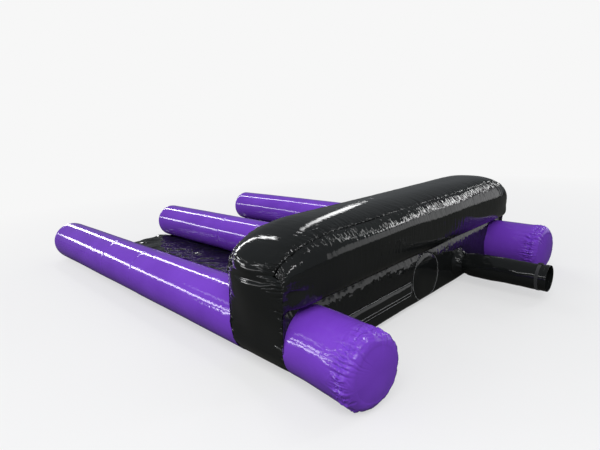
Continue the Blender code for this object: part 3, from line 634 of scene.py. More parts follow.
def narrowed(x, z, rounding):
    """Draws the section in for a place near the wall's ends: rounding is 1 in the middle and 0 at an end."""
    depth_share = END_DEPTH + (1 - END_DEPTH) * rounding
    height_share = END_HEIGHT + (1 - END_HEIGHT) * rounding
    above = eased((z - WAIST_FRONT[1]) / (SHOULDER_Z - WAIST_FRONT[1]))
    x = CUSHION_X + (x - CUSHION_X) * (1 + (depth_share - 1) * above)
    z = np.where(z > SHOULDER_Z, SHOULDER_Z + (z - SHOULDER_Z) * height_share, z)
    return x, z


def waist_angle(x):
    depth = CUSHION_FRONT if x >= CUSHION_X else CUSHION_REAR
    steep = math.acos((abs(x - CUSHION_X) / depth) ** (LOWER_POWER / 2))
    return -steep if x >= CUSHION_X else math.pi + steep


def section_run(first, last):
    """Angles in even steps over the cloth, and the length of cloth up to each, for a panel's section."""
    angles = np.linspace(first, last, 400)
    x, z = cushion_section(angles)
    return angles, np.concatenate([[0], np.cumsum(np.hypot(np.diff(x), np.diff(z)))])


corner_front = narrowed(*cushion_section(np.array(FRONT_SEAM)), 0.0)
corner_rear = narrowed(*cushion_section(np.array(REAR_SEAM)), 0.0)


def ridge_bulge(x):
    """How far the wall's end stands out along its top edge, at x."""
    share = np.clip((x - corner_rear[0]) / (corner_front[0] - corner_rear[0]), 0, 1)
    return END_BULGE * (1 - (2 * share - 1) ** 2)


def along_wall(v, end_y):
    """Spreads points evenly over the cloth from end to end: their y, their rounding and the cloth's run."""
    run = (2 * v - 1) * HALF_RUN
    past = np.clip((np.abs(run) - SHOULDER_Y) / SHOULDER_ARC, 0, 1) * math.pi / 2
    y = np.where(np.abs(run) <= SHOULDER_Y, np.abs(run), SHOULDER_Y + (end_y - SHOULDER_Y) * np.sin(past))
    return np.sign(run) * y, np.cos(past), run


def grid(across, along):
    shape = bmesh.new()
    bmesh.ops.create_grid(shape, x_segments=across, y_segments=along, size=0.5)
    shares = np.clip(points_of(shape)[:, :2] + 0.5, 0, 1)
    return shape, shares[:, 0], shares[:, 1]


FLUSH_LOW = 0.28  # height from which the wall's end edges run straight up to the shoulders


def flush_edge(z, front):
    """The x of the straight edges that the ends of the wall have, at heights z, without a waist."""
    base_x = face_x if front else wall_rear[1, 0]
    depth = CUSHION_FRONT if front else -CUSHION_REAR
    return np.interp(z, (FLUSH_LOW, SHOULDER_Z), (base_x, CUSHION_X + depth * END_DEPTH * 0.998))


def wall_inside(places):
    height = np.where(places[:, 2] < WAIST_FRONT[1], tube_radius, SHOULDER_Z)
    reach = SHOULDER_Y + SHOULDER_LENGTH / 4
    return rows_of(CUSHION_X, np.clip(places[:, 1], -reach, reach), height)


def black_piece(name, shape, points, cloth, height, inside, *nodes):
    """A black piece of the envelope, that stands for the nodes."""
    made = add_fabric(name, shape, points, cloth, height, black, inside)
    rest_on_floor(made)
    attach(made, "envelope")
    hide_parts(*nodes)
    return made


def wall_piece(name, shape, points, cloth, height, *nodes):
    black_piece(name, shape, points, cloth, height, wall_inside, *nodes)


def corner_share(run):
    """How strongly the long seams crumple: fully near the wall's corners, and less between them."""
    return 0.30 + 0.70 * eased((np.abs(run) - 1.0) / 0.45)


def comb(run, away, seed, strength):
    """The close folds that stand square to the long seams: fine teeth in bunches, and longer ones between."""
    bunch = 0.6 + 0.4 * line_noise(run, 0.23, seed + 3)
    folds = seam_folds(run, away, seed, 0.0080, 0.0038, 0.085) * bunch
    folds += seam_folds(run, away, seed + 5, 0.021, 0.0110, 0.075) * strength
    folds += seam_folds(run, away, seed + 9, 0.050, 0.0130, 0.11) * strength
    crushed = crumple(run, away, 0.024, seed + 11) * np.exp(-((away / 0.07) ** 2)) * sewn(away)
    return folds + 0.0085 * crushed * strength


LONG_TUCK = (0.002, 0.012)  # depth and width of the line that a long seam draws in
END_TUCK = (0.004, 0.014)  # the same at the seams of an end panel
END_CALM = 0.09  # stretch beside an end in which the long seams' folds die away


# Wall top panel
# One long piece of the black fabric over the crown. Its edges are sewn to the front and rear panels, and
# its ends roll down to a ridge, where the end panels are sewn on.

shape, u, v = grid(84, 1060)
angles, runs = section_run(FRONT_SEAM, REAR_SEAM)
across_run = u * runs[-1]
angle = np.interp(across_run, runs, angles)
x, z = cushion_section(angle)
end_x = narrowed(x, z, 0.0)[0]
y, rounding, run = along_wall(v, END_Y + ridge_bulge(end_x))
x, z = narrowed(x, z, rounding)
from_front, from_rear = across_run, runs[-1] - across_run
from_end = HALF_RUN - np.abs(run)
corner = corner_share(run)
off_end = eased(from_end / END_CALM)
height = tucked(from_front, *LONG_TUCK) + tucked(from_rear, *LONG_TUCK)
height += comb(run, from_front, 500, corner) * off_end
height += comb(run, from_rear, 520, corner) * off_end
height += 0.0035 * cloth_noise(run, across_run, 0.5, 0.2, 540) * off_end
height += 0.0005 * cloth_noise(run, across_run, 0.014, 0.09, 541) * off_end
cloth = rows_of(run, across_run)
wall_piece("wall_top_fabric", shape, rows_of(x, y, z), cloth, height, "wall_top_panel")


# Wall front and rear panels
# They run from the long top seams down to the waist, where they are sewn to the base. Over the outer
# tubes a gusset carries each on down, and towards the wall's ends they lose their waist.

SKIRT = 0.16  # share of a side panel's grid that hangs below the waist, over a tube's shoulder
SKIRT_LAP = 0.006  # how far the skirt reaches below the tube's top
SKIRT_SET = 0.004  # how far it lies behind the base panel
FLUSH_REACH = 0.30  # stretch beside an end in which a side panel loses its waist


def side_panel(name, nodes, seam, waist, base_line, seed, across, along):
    shape, u, v = grid(across, along)
    angles, runs = section_run(seam, waist)
    on_cushion = np.minimum(u / (1 - SKIRT), 1)
    below = np.clip((u - 1 + SKIRT) / SKIRT, 0, 1)
    across_run = on_cushion * runs[-1]
    angle = np.interp(across_run, runs, angles)
    y, rounding, run = along_wall(v, END_Y)
    x, z = narrowed(*cushion_section(angle), rounding)
    waist_x, waist_z = cushion_section(np.array(waist))
    past_axis = np.maximum(np.abs(y) - tube_pitch, 0)
    over_tube = tube_radius + np.sqrt(np.maximum(tube_radius**2 - past_axis**2, 0))
    hem_z = np.minimum(over_tube - SKIRT_LAP, waist_z - 2 * SKIRT_LAP)
    skirt_z = waist_z + (hem_z - waist_z) * below
    skirt_x = np.interp(skirt_z, base_line[:, 1], base_line[:, 0])
    behind = -SKIRT_SET * np.sign(waist_x) * (np.abs(y) < tube_pitch)
    x = np.where(below > 0, skirt_x + behind, x)
    z = np.where(below > 0, skirt_z, z)
    across_run = across_run + np.where(below > 0, waist_z - skirt_z, 0)
    from_top, from_waist = across_run, np.abs(runs[-1] - across_run)
    from_end = HALF_RUN - np.abs(run)
    flush = 1 - eased(from_end / FLUSH_REACH)
    x = np.where(z < SHOULDER_Z, x + (flush_edge(z, waist_x > 0) - x) * flush, x)
    height = tucked(from_end, *END_TUCK)
    height += tucked(from_waist, 0.004, 0.01) * (np.abs(y) < tube_pitch)
    height += tucked(from_top, *LONG_TUCK)
    height += comb(run, from_top, seed, corner_share(run)) * eased(from_end / END_CALM)
    long_folds = seam_folds(across_run, from_end, seed + 120, 0.024, 0.0150, 0.085) * eased(from_top / 0.05)
    height += long_folds * sewn(from_end)
    height += seam_folds(across_run, from_end, seed + 123, 0.011, 0.0070, 0.045) * sewn(from_end)
    height += seam_folds(run, from_waist, seed + 126, 0.035, 0.004, 0.06)
    height -= 0.012 * np.exp(-((from_end - 0.16) / 0.09) ** 2) * eased((across_run - 0.08) / 0.2)
    height += 0.004 * cloth_noise(run, across_run, 0.42, 0.12, seed + 130)
    height += 0.0006 * cloth_noise(run, across_run, 0.013, 0.07, seed + 131)
    wall_piece(name, shape, rows_of(x, y, z), rows_of(run, across_run), height, *nodes)


front_nodes = ("wall_front_panel", "corner_gusset_front_near", "corner_gusset_front_far")
rear_nodes = ("wall_rear_panel", "corner_gusset_rear_near", "corner_gusset_rear_far")
front_waist, rear_waist = waist_angle(WAIST_FRONT[0]), waist_angle(WAIST_REAR[0])
side_panel("wall_front_fabric", front_nodes, FRONT_SEAM, front_waist, wall_front, 500, 88, 1060)
side_panel("wall_rear_fabric", rear_nodes, REAR_SEAM, rear_waist, wall_rear, 520, 50, 640)


# Wall end panels
# One piece of fabric at each end, from the ridge down and round under the outer tube. Its edges are sewn
# to the front and rear panels with a gathered seam, so close folds lie square to them.


def end_edge(z, depth, base_line, waist_z):
    """The x of the wall's end panel, at its front or rear edge, at heights z."""
    low = np.interp(z, base_line[:, 1], base_line[:, 0])
    full_z = np.where(z <= SHOULDER_Z, z, SHOULDER_Z + (z - SHOULDER_Z) / END_HEIGHT)
    height = np.where(full_z >= CUSHION_Z, CUSHION_UP, CUSHION_DOWN)
    power = np.where(full_z >= CUSHION_Z, UPPER_POWER, LOWER_POWER)
    share = np.clip(np.abs(full_z - CUSHION_Z) / height, 0, 1)
    x = narrowed(CUSHION_X + depth * (1 - share**power) ** (1 / power), full_z, 0.0)[0]
    x = np.where(z < waist_z, low, x)
    return np.where((z > FLUSH_LOW) & (z < SHOULDER_Z), flush_edge(z, depth > 0), x)


def ridge_z(x):
    """The height of the ridge where the top panel meets an end panel, at x."""
    full_x = CUSHION_X + (x - CUSHION_X) / END_DEPTH
    depth = np.where(full_x >= CUSHION_X, CUSHION_FRONT, CUSHION_REAR)
    share = np.clip(np.abs(full_x - CUSHION_X) / depth, 0, 1)
    full_z = CUSHION_Z + CUSHION_UP * (1 - share**UPPER_POWER) ** (1 / UPPER_POWER)
    return SHOULDER_Z + (full_z - SHOULDER_Z) * END_HEIGHT


UPRIGHT = 0.66  # share of an end panel's height on the cloth that stands over the tube's widest point
for number, (side, way) in enumerate((("near", -1), ("far", 1))):
    seed = 700 + 30 * number
    shape, u, v = grid(170, 250)
    seam_x = corner_rear[0] + (corner_front[0] - corner_rear[0]) * u
    top_z = ridge_z(seam_x)
    down = np.clip(v / UPRIGHT, 0, 1)
    under = np.clip((v - UPRIGHT) / (1 - UPRIGHT), 0, 1) * math.pi / 2
    z = np.where(v < UPRIGHT, top_z + (tube_radius - top_z) * down, tube_radius * (1 - np.sin(under)))
    y = np.where(v < UPRIGHT, END_Y, tube_pitch + tube_radius * np.cos(under))
    front_x = end_edge(np.minimum(z, corner_front[1]), CUSHION_FRONT, wall_front, WAIST_FRONT[1])
    rear_x = end_edge(np.minimum(z, corner_rear[1]), -CUSHION_REAR, wall_rear, WAIST_REAR[1])
    from_ridge = np.maximum(top_z - z, 0)
    x = rear_x + (front_x - rear_x) * u
    bulge = END_BULGE * eased((z - tube_radius) / (SHOULDER_Z - tube_radius))
    crowned = 1 - (2 * u - 1) ** 2
    y = y + bulge * crowned
    from_front, from_rear = np.maximum(front_x - x, 0), np.maximum(x - rear_x, 0)
    under_ridge = eased(from_ridge / 0.03)
    height = tucked(from_front, *END_TUCK) + tucked(from_rear, *END_TUCK)
    height -= 0.013 * np.exp(-((from_ridge - 0.045) / 0.028) ** 2) * crowned
    for from_seam, fold_seed, spacing, depth, reach in (
        (from_front, seed, 0.024, 0.0150, 0.075),
        (from_front, seed + 2, 0.011, 0.0065, 0.04),
        (from_rear, seed + 4, 0.024, 0.0120, 0.07),
        (from_rear, seed + 6, 0.011, 0.0050, 0.035),
    ):
        height += seam_folds(z, from_seam, fold_seed, spacing, depth, reach) * under_ridge * sewn(from_seam)
    height += 0.004 * cloth_noise(x, z, 0.14, 0.3, seed + 8) * np.clip(from_ridge / 0.08, 0, 1)
    points = rows_of(x, way * y, z)
    wall_piece(f"wall_end_{side}_fabric", shape, points, rows_of(x, z), height, f"wall_end_panel_{side}")


# Base panels
# The chamber that joins the tubes: an upright front panel between the stubs, two rear panels between the
# lane tubes and a floor panel. Under the cushion's overhang the cloth is slack, and crumples.

WAIST_GAP = 0.003
TUBE_GAP = 0.006  # between a base panel's cut edge and the tube
WAIST_FOLDS = (0.03, 0.004, 0.05)  # spacing, depth and reach of the folds at the waist seams
BASE_FOLDS = (0.04, 0.004, 0.05)  # the same at the base panels' upright seams
SLACK_Z, SLACK_HEIGHT = 0.375, 0.06  # the slack cloth under the overhang
FLAT_Y, FLAT_Z = (-1.15, -0.24), (0.12, 0.27)  # the stretch that the zip's flap keeps flat


def smooth_line(line, reach=0.022):
    """A base outline with its corners rounded, as pressure rounds them: heights and the x at each."""
    low_z, high_z = line[0, 1], line[-1, 1]
    heights = np.linspace(low_z, high_z, 300)
    offsets = np.linspace(-reach, reach, 9)
    nearby = [np.clip(heights + offset, low_z, high_z) for offset in offsets]
    return heights, sum(np.interp(z, line[:, 1], line[:, 0]) for z in nearby) / len(offsets)


def base_edge(z, top_z):
    """Half the width of a base panel between the outer tubes, at heights z."""
    side = tube_pitch - np.sqrt(np.maximum(tube_radius**2 - (z - tube_radius) ** 2, 0))
    over = tube_pitch + (END_Y - tube_pitch) * (z - 2 * tube_radius) / (top_z - 2 * tube_radius)
    return np.where(z <= 2 * tube_radius, side + TUBE_GAP, over)


disc_low, disc_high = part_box("centre_end_disc")
disc_radius = (disc_high.y - disc_low.y) / 2
disc_z = (disc_high.z + disc_low.z) / 2
collar_low, collar_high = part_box("sleeve_collar")
sleeve_y = (collar_low.y + collar_high.y) / 2
sleeve_z = (collar_low.z + collar_high.z) / 2
port_radius = (collar_high.y - collar_low.y) / 2 - 0.013

shape, u, v = grid(900, 72)
front_heights, front_places = smooth_line(wall_front)
top_z = WAIST_FRONT[1] - WAIST_GAP
z = v * top_z
y = (2 * u - 1) * base_edge(z, top_z)
x = np.interp(z, front_heights, front_places)
from_disc = np.hypot(y, z - disc_z) - disc_radius
from_port = np.hypot(y - sleeve_y, z - sleeve_z) - port_radius
from_top = top_z - z
beside = base_edge(z, top_z) - np.abs(y)
slack = np.exp(-((z - SLACK_Z) / SLACK_HEIGHT) ** 2)
height = 0.0024 * crumple(y, z, 0.060, 800) * (0.25 + slack)
height += 0.0020 * crumple(y, z, 0.026, 820) * (0.25 + slack)
height += 0.0011 * crumple(y, z, 0.013, 830) * (0.15 + slack)
height += 0.004 * cloth_noise(y, z, 0.3, 0.12, 840) * np.clip(from_top / 0.05, 0, 1)
height += seam_folds(y, from_top, 850, *WAIST_FOLDS)
disc_ring, port_ring = 2 * math.pi * disc_radius, 2 * math.pi * port_radius
disc_arc = np.arctan2(z - disc_z, y) % (2 * math.pi) * disc_radius
height += seam_folds(disc_arc, np.abs(from_disc), 860, 0.04, 0.003, 0.05, disc_ring)
height += seam_folds(z, beside, 870, *BASE_FOLDS)
port_arc = np.arctan2(z - sleeve_z, y - sleeve_y) % (2 * math.pi) * port_radius
height += seam_folds(port_arc, np.abs(from_port), 880, 0.035, 0.004, 0.06, port_ring)
height += tucked(np.abs(from_disc), 0.006, 0.012)
height = np.where(from_disc < 0, -0.010, height)
under_flap = (y > FLAT_Y[0]) & (y < FLAT_Y[1]) & (z > FLAT_Z[0]) & (z < FLAT_Z[1])
height = np.where(under_flap, np.minimum(height, 0.0) * 0.3 - 0.001, height)
points = rows_of(x, y, z)


def forward(places):
    return places - np.array((1.0, 0, 0))


def backward(places):
    return places + np.array((1.0, 0, 0))


front_base = black_piece(
    "base_front_fabric", shape, points, points[:, 1:], height, forward, "base_front_panel"
)

rear_heights, rear_places = smooth_line(wall_rear)
top_z = WAIST_REAR[1] - WAIST_GAP
for number, (side, way) in enumerate((("near", -1), ("far", 1))):
    shape, u, v = grid(180, 64)
    z = v * top_z
    inner = np.sqrt(np.maximum(tube_radius**2 - (z - tube_radius) ** 2, 0))
    y = inner + u * (base_edge(z, top_z) - inner)
    x = np.interp(z, rear_heights, rear_places)
    height = 0.004 * crumple(y, z, 0.06, 900 + number)
    height += seam_folds(y, top_z - z, 910 + number, *WAIST_FOLDS)
    height += seam_folds(z, y - inner, 920 + number, *BASE_FOLDS)
    height += seam_folds(z, base_edge(z, top_z) - y, 930 + number, *BASE_FOLDS)
    points, node = rows_of(x, way * y, z), f"base_rear_panel_{side}"
    made = black_piece(f"base_rear_{side}_fabric", shape, points, rows_of(y, z), height, backward, node)


# Centre end disc
# A round panel closes the base over the centre tube's end. A light thread runs round it, and the air
# domes it a little.

DISC_DOME = 0.014
DISC_SET = 0.004  # how far its rim lies behind the base's outline
DISC_RINGS = 60

shape = spun([(0.0, disc_radius * (1 - i / DISC_RINGS)) for i in range(DISC_RINGS + 1)], 200)
flat, angle, arc = round_places(shape, disc_radius)
radius = np.hypot(flat[:, 1], flat[:, 2])
from_rim = disc_radius - radius
z = disc_z + flat[:, 2]
dome = DISC_DOME * np.sqrt(np.clip(1 - (radius / disc_radius) ** 2, 0, 1))
x = np.interp(z, front_heights, front_places) + dome - DISC_SET
height = seam_folds(arc, from_rim, 950, 0.03, 0.0022, 0.04, disc_ring)
height += 0.004 * cloth_noise(flat[:, 1], flat[:, 2], 0.13, 0.13, 952) * np.clip(from_rim / 0.05, 0, 1)
points = rows_of(x, flat[:, 1], z)
disc = black_piece("centre_disc_fabric", shape, points, flat[:, 1:3], height, forward, "centre_end_disc")


# Lane ground sheets
# Two sheets of black coated fabric lie over the floor of the lanes, sewn to the tubes' undersides. They
# are only as tight as their sewn edges hold them, so they lie crumpled, and their loose ends wave.


def upward(places):
    return places - np.array((0, 0, 1.0))


def downward(places):
    return places + np.array((0, 0, 1.0))


for number, side in enumerate(("near", "far")):
    low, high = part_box(f"lane_sheet_{side}")
    shape, u, v = grid(320, 116)
    x, y = low.x + (high.x - low.x) * u, low.y + (high.y - low.y) * v
    seed = 1000 + 40 * number
    lift = 0.020 * (crumple(x, y, 0.19, seed) + 0.35)
    lift += 0.011 * (crumple(x, y, 0.08, seed + 12) + 0.3)
    lift += 0.0035 * crumple(x, y, 0.034, seed + 24)
    from_end = x - low.x
    edge = np.minimum(y - low.y, high.y - y)
    lift += 0.012 * np.exp(-from_end / 0.12) * (0.5 + 0.5 * line_noise(y, 0.11, seed + 30))
    z = 0.001 + np.maximum(lift, 0) * np.clip(edge / 0.1, 0.1, 1)
    wavy_x = x + 0.012 * line_noise(y, 0.16, seed + 31) * np.exp(-from_end / 0.1)
    points = rows_of(wavy_x, y, z)
    made = add_fabric(f"lane_sheet_{side}_fabric", shape, points, rows_of(x, y), 0 * x, black, upward)
    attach(made, "envelope")
    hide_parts(f"lane_sheet_{side}")


# Blower sleeve
# A fabric collar sewn round the air inlet narrows to a tied neck, and the sleeve that slips over the
# blower's pipe runs on from it to an open hemmed mouth, with a webbing strap and a buckle round it.

neck_low, neck_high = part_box("sleeve_neck")
sleeve_low, sleeve_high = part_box("blower_sleeve")
hem_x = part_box("sleeve_hem")[0].x
sleeve_radius = (sleeve_high.y - sleeve_low.y) / 2
ring = 2 * math.pi * sleeve_radius
neck_x = (neck_low.x + neck_high.x) / 2
NECK_RADIUS = 0.093
COLLAR_RADIUS = (collar_high.y - collar_low.y) / 2
COLLAR_SET = 0.006  # how far the collar's root reaches behind the wall's face
HEM_LAP = 0.004
CALM_START, CALM_REACH = 0.93, 0.08  # where the sleeve's folds begin to die away before its hem
SLEEVE_CLOTH = 0.001


def wall_of(piece, thickness):
    """Gives a piece that is seen from both sides the thickness of its cloth, inwards."""
    solid = piece.modifiers.new("cloth thickness", "SOLIDIFY")
    solid.thickness = thickness
    solid.offset = -1.0


def sleeve_piece(name, shape, x, radius, angle, arc, height, material, thickness):
    """A piece round the sleeve's axis, at places x and with the given radius there."""
    points = rows_of(x, sleeve_y + radius * np.cos(angle), sleeve_z + radius * np.sin(angle))
    made = add_fabric(name, shape, points, rows_of(x, arc), height, material, axis_at(sleeve_y, sleeve_z))
    wall_of(made, thickness)
    return made


shape = rolled(0.0, 1.0, 1.0, 60, 200)
flat, angle, arc = round_places(shape, sleeve_radius)
radius = NECK_RADIUS + (COLLAR_RADIUS - NECK_RADIUS) * (1 - flat[:, 0]) ** 1.6
root_x = face_x - COLLAR_SET
x = root_x + (neck_x - root_x) * flat[:, 0]
height = seam_folds(arc, neck_x - x, 1100, 0.024, 0.015, 0.06, ring)
height += seam_folds(arc, x - root_x, 1103, 0.03, 0.008, 0.05, ring)
height += 0.004 * crumple(x, arc, 0.03, 1106) * eased((x - root_x) / 0.02)
collar = sleeve_piece("sleeve_collar_fabric", shape, x, radius, angle, arc, height, black, SLEEVE_CLOTH)
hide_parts("sleeve_collar", "sleeve_neck")
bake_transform(collar)

shape = rolled(0.0, 1.0, 1.0, 150, 160)
flat, angle, arc = round_places(shape, sleeve_radius)
x = neck_x + (hem_x - neck_x + HEM_LAP) * flat[:, 0]
away = x - neck_x
radius = sleeve_radius - (sleeve_radius - NECK_RADIUS) * np.exp(-((away / 0.05) ** 1.5))
height = seam_folds(arc, away, 1120, 0.034, 0.010, 0.11, ring)
height += seam_folds(arc, away, 1123, 0.05, 0.005, 0.3, ring)
height += 0.003 * cloth_noise(x, arc, 0.12, 0.07, 1126, ring) * eased(away / 0.05)
height += 0.0015 * crumple(x, arc, 0.04, 1128) * eased(away / 0.03)
height *= 1 - eased((x - CALM_START) / CALM_REACH)
sleeve = sleeve_piece("blower_sleeve_fabric", shape, x, radius, angle, arc, height, black, SLEEVE_CLOTH)
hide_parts("blower_sleeve")
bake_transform(sleeve)


# Sleeve hem, strap and buckle
# The mouth is turned back and sewn into a double hem. A webbing strap threads through a moulded buckle
# and ties the sleeve round the blower's pipe.


def band(name, node, radius, thickness, steps, material, seed):
    """A band of cloth or webbing round the sleeve, as thick as given."""
    low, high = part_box(node)
    shape = rolled(0.0, 1.0, 1.0, steps, 160)
    flat, angle, arc = round_places(shape, sleeve_radius)
    x = low.x + (high.x - low.x) * flat[:, 0]
    height = tucked(np.minimum(x - low.x, high.x - x), 0.4 * thickness, 0.0015)
    height += 0.0006 * cloth_noise(x, arc, 0.02, 0.03, seed, ring)
    made = sleeve_piece(name, shape, x, radius, angle, arc, height, material, thickness)
    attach(made, "sleeve")
    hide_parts(node)


def woven_tape(name, colour, scale, roughness):
    """Dull woven tape: ribs across it and a fine fleck of lighter yarn."""
    made, nodes, links, shader = finish(name)
    place = nodes.new("ShaderNodeTexCoord").outputs["Object"]
    light = [3.2 * share for share in colour]
    fleck = two_shades(nodes, links, mottle(nodes, links, place, 900.0), (0.35, 0.8), (colour, light))
    links.new(fleck, shader.inputs["Base Color"])
    woven = ribs(nodes, links, place, scale, distortion=0.6)
    links.new(raised(nodes, links, woven, 0.7, 0.0005), shader.inputs["Normal"])
    shader.inputs["Roughness"].default_value = roughness
    shader.inputs["Sheen Weight"].default_value = 0.3
    return made


webbing = woven_tape("strap webbing", (0.018, 0.018, 0.020), 110.0, 0.75)
band("sleeve_hem_fabric", "sleeve_hem", sleeve_radius + 0.001, 0.004, 16, black, 1150)
band("sleeve_strap_webbing", "sleeve_strap", sleeve_radius + 0.003, 0.0018, 14, webbing, 1152)


def moulded_plastic(name, colour):
    """Satin moulded plastic with a fine spark texture and lighter rubbed patches."""
    made, nodes, links, shader = finish(name)
    place = nodes.new("ShaderNodeTexCoord").outputs["Object"]
    light = [2.5 * share for share in colour]
    rubbed = two_shades(nodes, links, mottle(nodes, links, place, 60.0), (0.4, 0.9), (colour, light))
    links.new(rubbed, shader.inputs["Base Color"])
    grain = mottle(nodes, links, place, 700.0)
    links.new(raised(nodes, links, grain, 0.4, 0.0002), shader.inputs["Normal"])
    shader.inputs["Roughness"].default_value = 0.42
    return made


def carry_over(node, material, edge):
    """A hard CAD piece that is shown as it is, with its own material and slightly rounded edges."""
    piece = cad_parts[node]
    piece.data.materials.clear()
    piece.data.materials.append(material)
    rounded = piece.modifiers.new("rounded edges", "BEVEL")
    rounded.width = edge
    rounded.segments = 3
    rounded.limit_method = "ANGLE"


black_plastic = moulded_plastic("black moulded plastic", (0.016, 0.016, 0.016))
carry_over("strap_buckle", black_plastic, 0.0012)


# Deflation zip
# A coarse coil zip on a woven tape, sewn over a slit in the base front. Opened, it lets the air out. The
# plated slider carries a pull tab, and moulded stops hold it at both ends.


def strip_of(name, node, material, body, seed, rough):
    """A strip of tape a millimetre or two thick, slightly uneven, with its edges rounded."""
    low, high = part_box(node)
    shape, u, v = grid(8, 300)
    z, y = low.z + (high.z - low.z) * u, low.y + (high.y - low.y) * v
    x = high.x - 0.0005 + tucked(np.minimum(z - low.z, high.z - z), 0.0006, 0.0012)
    height = rough * cloth_noise(y, z, 0.004, 0.004, seed)
    made = add_fabric(name, shape, rows_of(x, y, z), rows_of(y, z), height, material, forward)
    wall_of(made, 0.0009)
    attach(made, body)
    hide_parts(node)


zip_tape = woven_tape("woven zip tape", (0.014, 0.014, 0.015), 260.0, 0.8)
strip_of("zip_tape_cloth", "zip_tape", zip_tape, "envelope", 1200, 0.0001)


def coil_plastic():
    """The zip's chain: moulded coils side by side, as close ridges across it."""
    made = moulded_plastic("zip coil plastic", (0.02, 0.02, 0.02))
    nodes, links = made.node_tree.nodes, made.node_tree.links
    coils = ribs(nodes, links, nodes.new("ShaderNodeTexCoord").outputs["Object"], 95.0, "Y")
    links.new(raised(nodes, links, coils, 1.0, 0.0012), nodes["Principled BSDF"].inputs["Normal"])
    return made


def plated_metal():
    made = moulded_plastic("plated zip metal", (0.30, 0.30, 0.31))
    shader = made.node_tree.nodes["Principled BSDF"]
    shader.inputs["Metallic"].default_value = 1.0
    shader.inputs["Roughness"].default_value = 0.28
    return made


zip_metal = plated_metal()
carry_over("zip_chain", coil_plastic(), 0.0006)
for node in ("zip_stop_near", "zip_stop_far"):
    carry_over(node, black_plastic, 0.0008)
for node in ("zip_slider", "zip_pull_tab"):
    carry_over(node, zip_metal, 0.0005)


# Zip flap
# A strip of the black fabric, sewn along its upper edge over the zip and closed below with hook and loop
# tape. Pale thread shows in one row along the sewn edge, two along the tape and one across the far end.

grip_tape = woven_tape("hook and loop tape", (0.013, 0.013, 0.014), 330.0, 0.95)
strip_of("grip_loop_tape", "grip_loop_strip", grip_tape, "envelope", 1210, 0.0003)
strip_of("grip_hook_tape", "grip_hook_strip", grip_tape, "zip_flap", 1211, 0.0003)

flap_low, flap_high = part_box("zip_flap")
hook_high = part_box("grip_hook_strip")[1]
zip_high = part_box("zip_pull_tab")[1]
flap_heights = (
    flap_low.z, hook_high.z + 0.002, zip_high.z - 0.029, zip_high.z + 0.020, flap_high.z - 0.008, flap_high.z
)
FLAP_STAND = (0.0062, 0.0062, 0.016, 0.016, 0.0040, 0.0034)  # from the wall's face, at those heights
FLAP_BEND = np.linspace(-0.006, 0.006, 7)  # over which its bends are rounded
shape, u, v = grid(40, 300)
z, y = flap_low.z + (flap_high.z - flap_low.z) * u, flap_low.y + (flap_high.y - flap_low.y) * v
nearby = [np.clip(z + offset, flap_low.z, flap_high.z) for offset in FLAP_BEND]
stand = sum(np.interp(place, flap_heights, FLAP_STAND) for place in nearby) / len(FLAP_BEND)
over_zip = eased((stand - 0.006) / 0.008)
height = over_zip * (0.0016 * cloth_noise(y, z, 0.09, 0.05, 1220) + 0.0006 * crumple(y, z, 0.03, 1222))
points = rows_of(face_x + stand, y, z)
flap = add_fabric("zip_flap_fabric", shape, points, points[:, 1:], height, black, forward)
wall_of(flap, SLEEVE_CLOTH)
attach(flap, "zip_flap")
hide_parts("zip_flap")


def pale_thread():
    """Bonded sewing thread: pale grey, with darker diagonal bands of painted shade for the grooves between
    its twisted plies.
    """
    made, nodes, links, shader = finish("pale sewing thread")
    plies = ribs(nodes, links, nodes.new("ShaderNodeTexCoord").outputs["Object"], 500.0, "DIAGONAL")
    # painted shade: the dark end of this ramp stands for the shade in the grooves between the plies, and the
    # pale end is the thread's own grey
    ply_groove_shade = two_shades(nodes, links, plies, (0.0, 1.0), ((0.33, 0.34, 0.34), (0.62, 0.63, 0.63)))
    links.new(ply_groove_shade, shader.inputs["Base Color"])
    shader.inputs["Roughness"].default_value = 0.6
    return made


thread = pale_thread()


STITCH = 0.0078  # from one stitch to the next
GRAIN = (0.0066, 0.0032, 0.0032)  # length and width of the thread that shows, a doubled row of heavy thread
FLAP_SEAM_Z = 0.172  # height of the row along the upper edge of the hook strip


def stitches(name, centres, ways, body):
    """A row of lock stitches on the wall's face: a little grain of thread at each centre, along its way."""
    shape = bmesh.new()
    out = Vector((1, 0, 0))
    for centre, way in zip(centres.tolist(), ways.tolist()):
        way = Vector(way).normalized()
        side = out.cross(way).normalized()
        place = Matrix.Translation(centre) @ Matrix((way, side, out)).transposed().to_4x4()
        grain = place @ Matrix.Diagonal((*(size / 2 for size in GRAIN), 1))
        bmesh.ops.create_uvsphere(shape, u_segments=6, v_segments=4, radius=1.0, matrix=grain)
    mesh = bpy.data.meshes.new(name)
    shape.to_mesh(mesh)
    shape.free()
    mesh.materials.append(thread)
    mesh.polygons.foreach_set("use_smooth", [True] * len(mesh.polygons))
    made = bpy.data.objects.new(name, mesh)
    bpy.context.scene.collection.objects.link(made)
    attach(made, body)


def flap_stitches(name, start, end):
    """Stitches from one (y, z) point on the flap to another."""
    start, end = np.array(start, float), np.array(end, float)
    count = int(np.hypot(*(end - start)) / STITCH)
    steps = (np.arange(count) + 0.5) / count
    y, z = (start + (end - start) * steps[:, None]).T
    x = face_x + np.interp(z, flap_heights, FLAP_STAND) + 0.0006
    stitches(name, rows_of(x, y, z), rows_of(0 * x, *(end - start)), "zip_flap")


left_y, right_y = flap_low.y + 0.006, flap_high.y - 0.008
low_z, high_z = flap_low.z + 0.005, flap_high.z - 0.005
flap_stitches("flap_top_stitching", (left_y, high_z), (right_y, high_z))
flap_stitches("flap_middle_stitching", (left_y, FLAP_SEAM_Z), (right_y, FLAP_SEAM_Z))
flap_stitches("flap_low_stitching", (left_y, low_z), (right_y, low_z))
flap_stitches("flap_end_stitching", (right_y, low_z), (right_y, high_z))

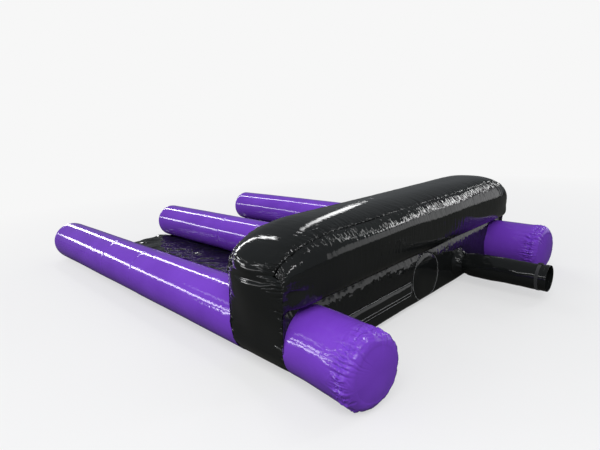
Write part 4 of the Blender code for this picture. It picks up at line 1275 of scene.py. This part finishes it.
thread_radius = disc_radius + 0.004
count = int(2 * math.pi * thread_radius / STITCH)
turns = 2 * math.pi * (np.arange(count) + 0.5) / count
y, z = thread_radius * np.cos(turns), disc_z + thread_radius * np.sin(turns)
x = np.interp(z, front_heights, front_places) + 0.0005
ways = rows_of(0 * y, -np.sin(turns), np.cos(turns))
stitches("disc_stitching", rows_of(x, y, z), ways, "envelope")


# Floor panel and waist baffle
# The base's floor panel lies flat on the ground. Inside, a baffle ties the front and rear waist seams
# together, with round holes that let air up into the cushion.

low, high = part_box("base_floor_panel")
shape, u, v = grid(40, 220)
x, y = low.x + (high.x - low.x) * u, low.y + (high.y - low.y) * v
z = 0.0012 + 0.0016 * np.maximum(crumple(x, y, 0.09, 1300), 0)
points = rows_of(x, y, z)
black_piece("base_floor_fabric", shape, points, points[:, :2], 0 * x, downward, "base_floor_panel")

low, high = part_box("waist_baffle")
HOLES, HOLE_RADIUS = 6, 0.06
HOLE_SNAP = 0.007  # points this near a hole's edge are drawn onto it
shape, u, v = grid(28, 320)
x, y = low.x + (high.x - low.x) * u, low.y + (high.y - low.y) * v
pitch = (high.y - low.y) / HOLES
hole = np.floor((y - low.y) / pitch).clip(0, HOLES - 1)
hole_x, hole_y = (low.x + high.x) / 2, low.y + pitch * (hole + 0.5)
off_x, off_y = x - hole_x, y - hole_y
radius = np.maximum(np.hypot(off_x, off_y), 1e-6)
snapped = np.where(np.abs(radius - HOLE_RADIUS) < HOLE_SNAP, HOLE_RADIUS / radius, 1.0)
x, y = hole_x + off_x * snapped, hole_y + off_y * snapped
inner = radius < HOLE_RADIUS + HOLE_SNAP
shape.verts.ensure_lookup_table()
gone = [face for face in shape.faces if all(inner[vert.index] for vert in face.verts)]
bmesh.ops.delete(shape, geom=gone, context="FACES")
kept = np.zeros(len(x), bool)
loose = [vert for vert in shape.verts if not vert.link_faces]
kept[[vert.index for vert in shape.verts if vert.link_faces]] = True
bmesh.ops.delete(shape, geom=loose, context="VERTS")
x, y = x[kept], y[kept]
z = high.z - 0.002 + 0.002 * cloth_noise(x, y, 0.2, 0.2, 1310)
points = rows_of(x, y, z)
black_piece("waist_baffle_fabric", shape, points, points[:, :2], 0 * x, upward, "waist_baffle")

low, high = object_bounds()
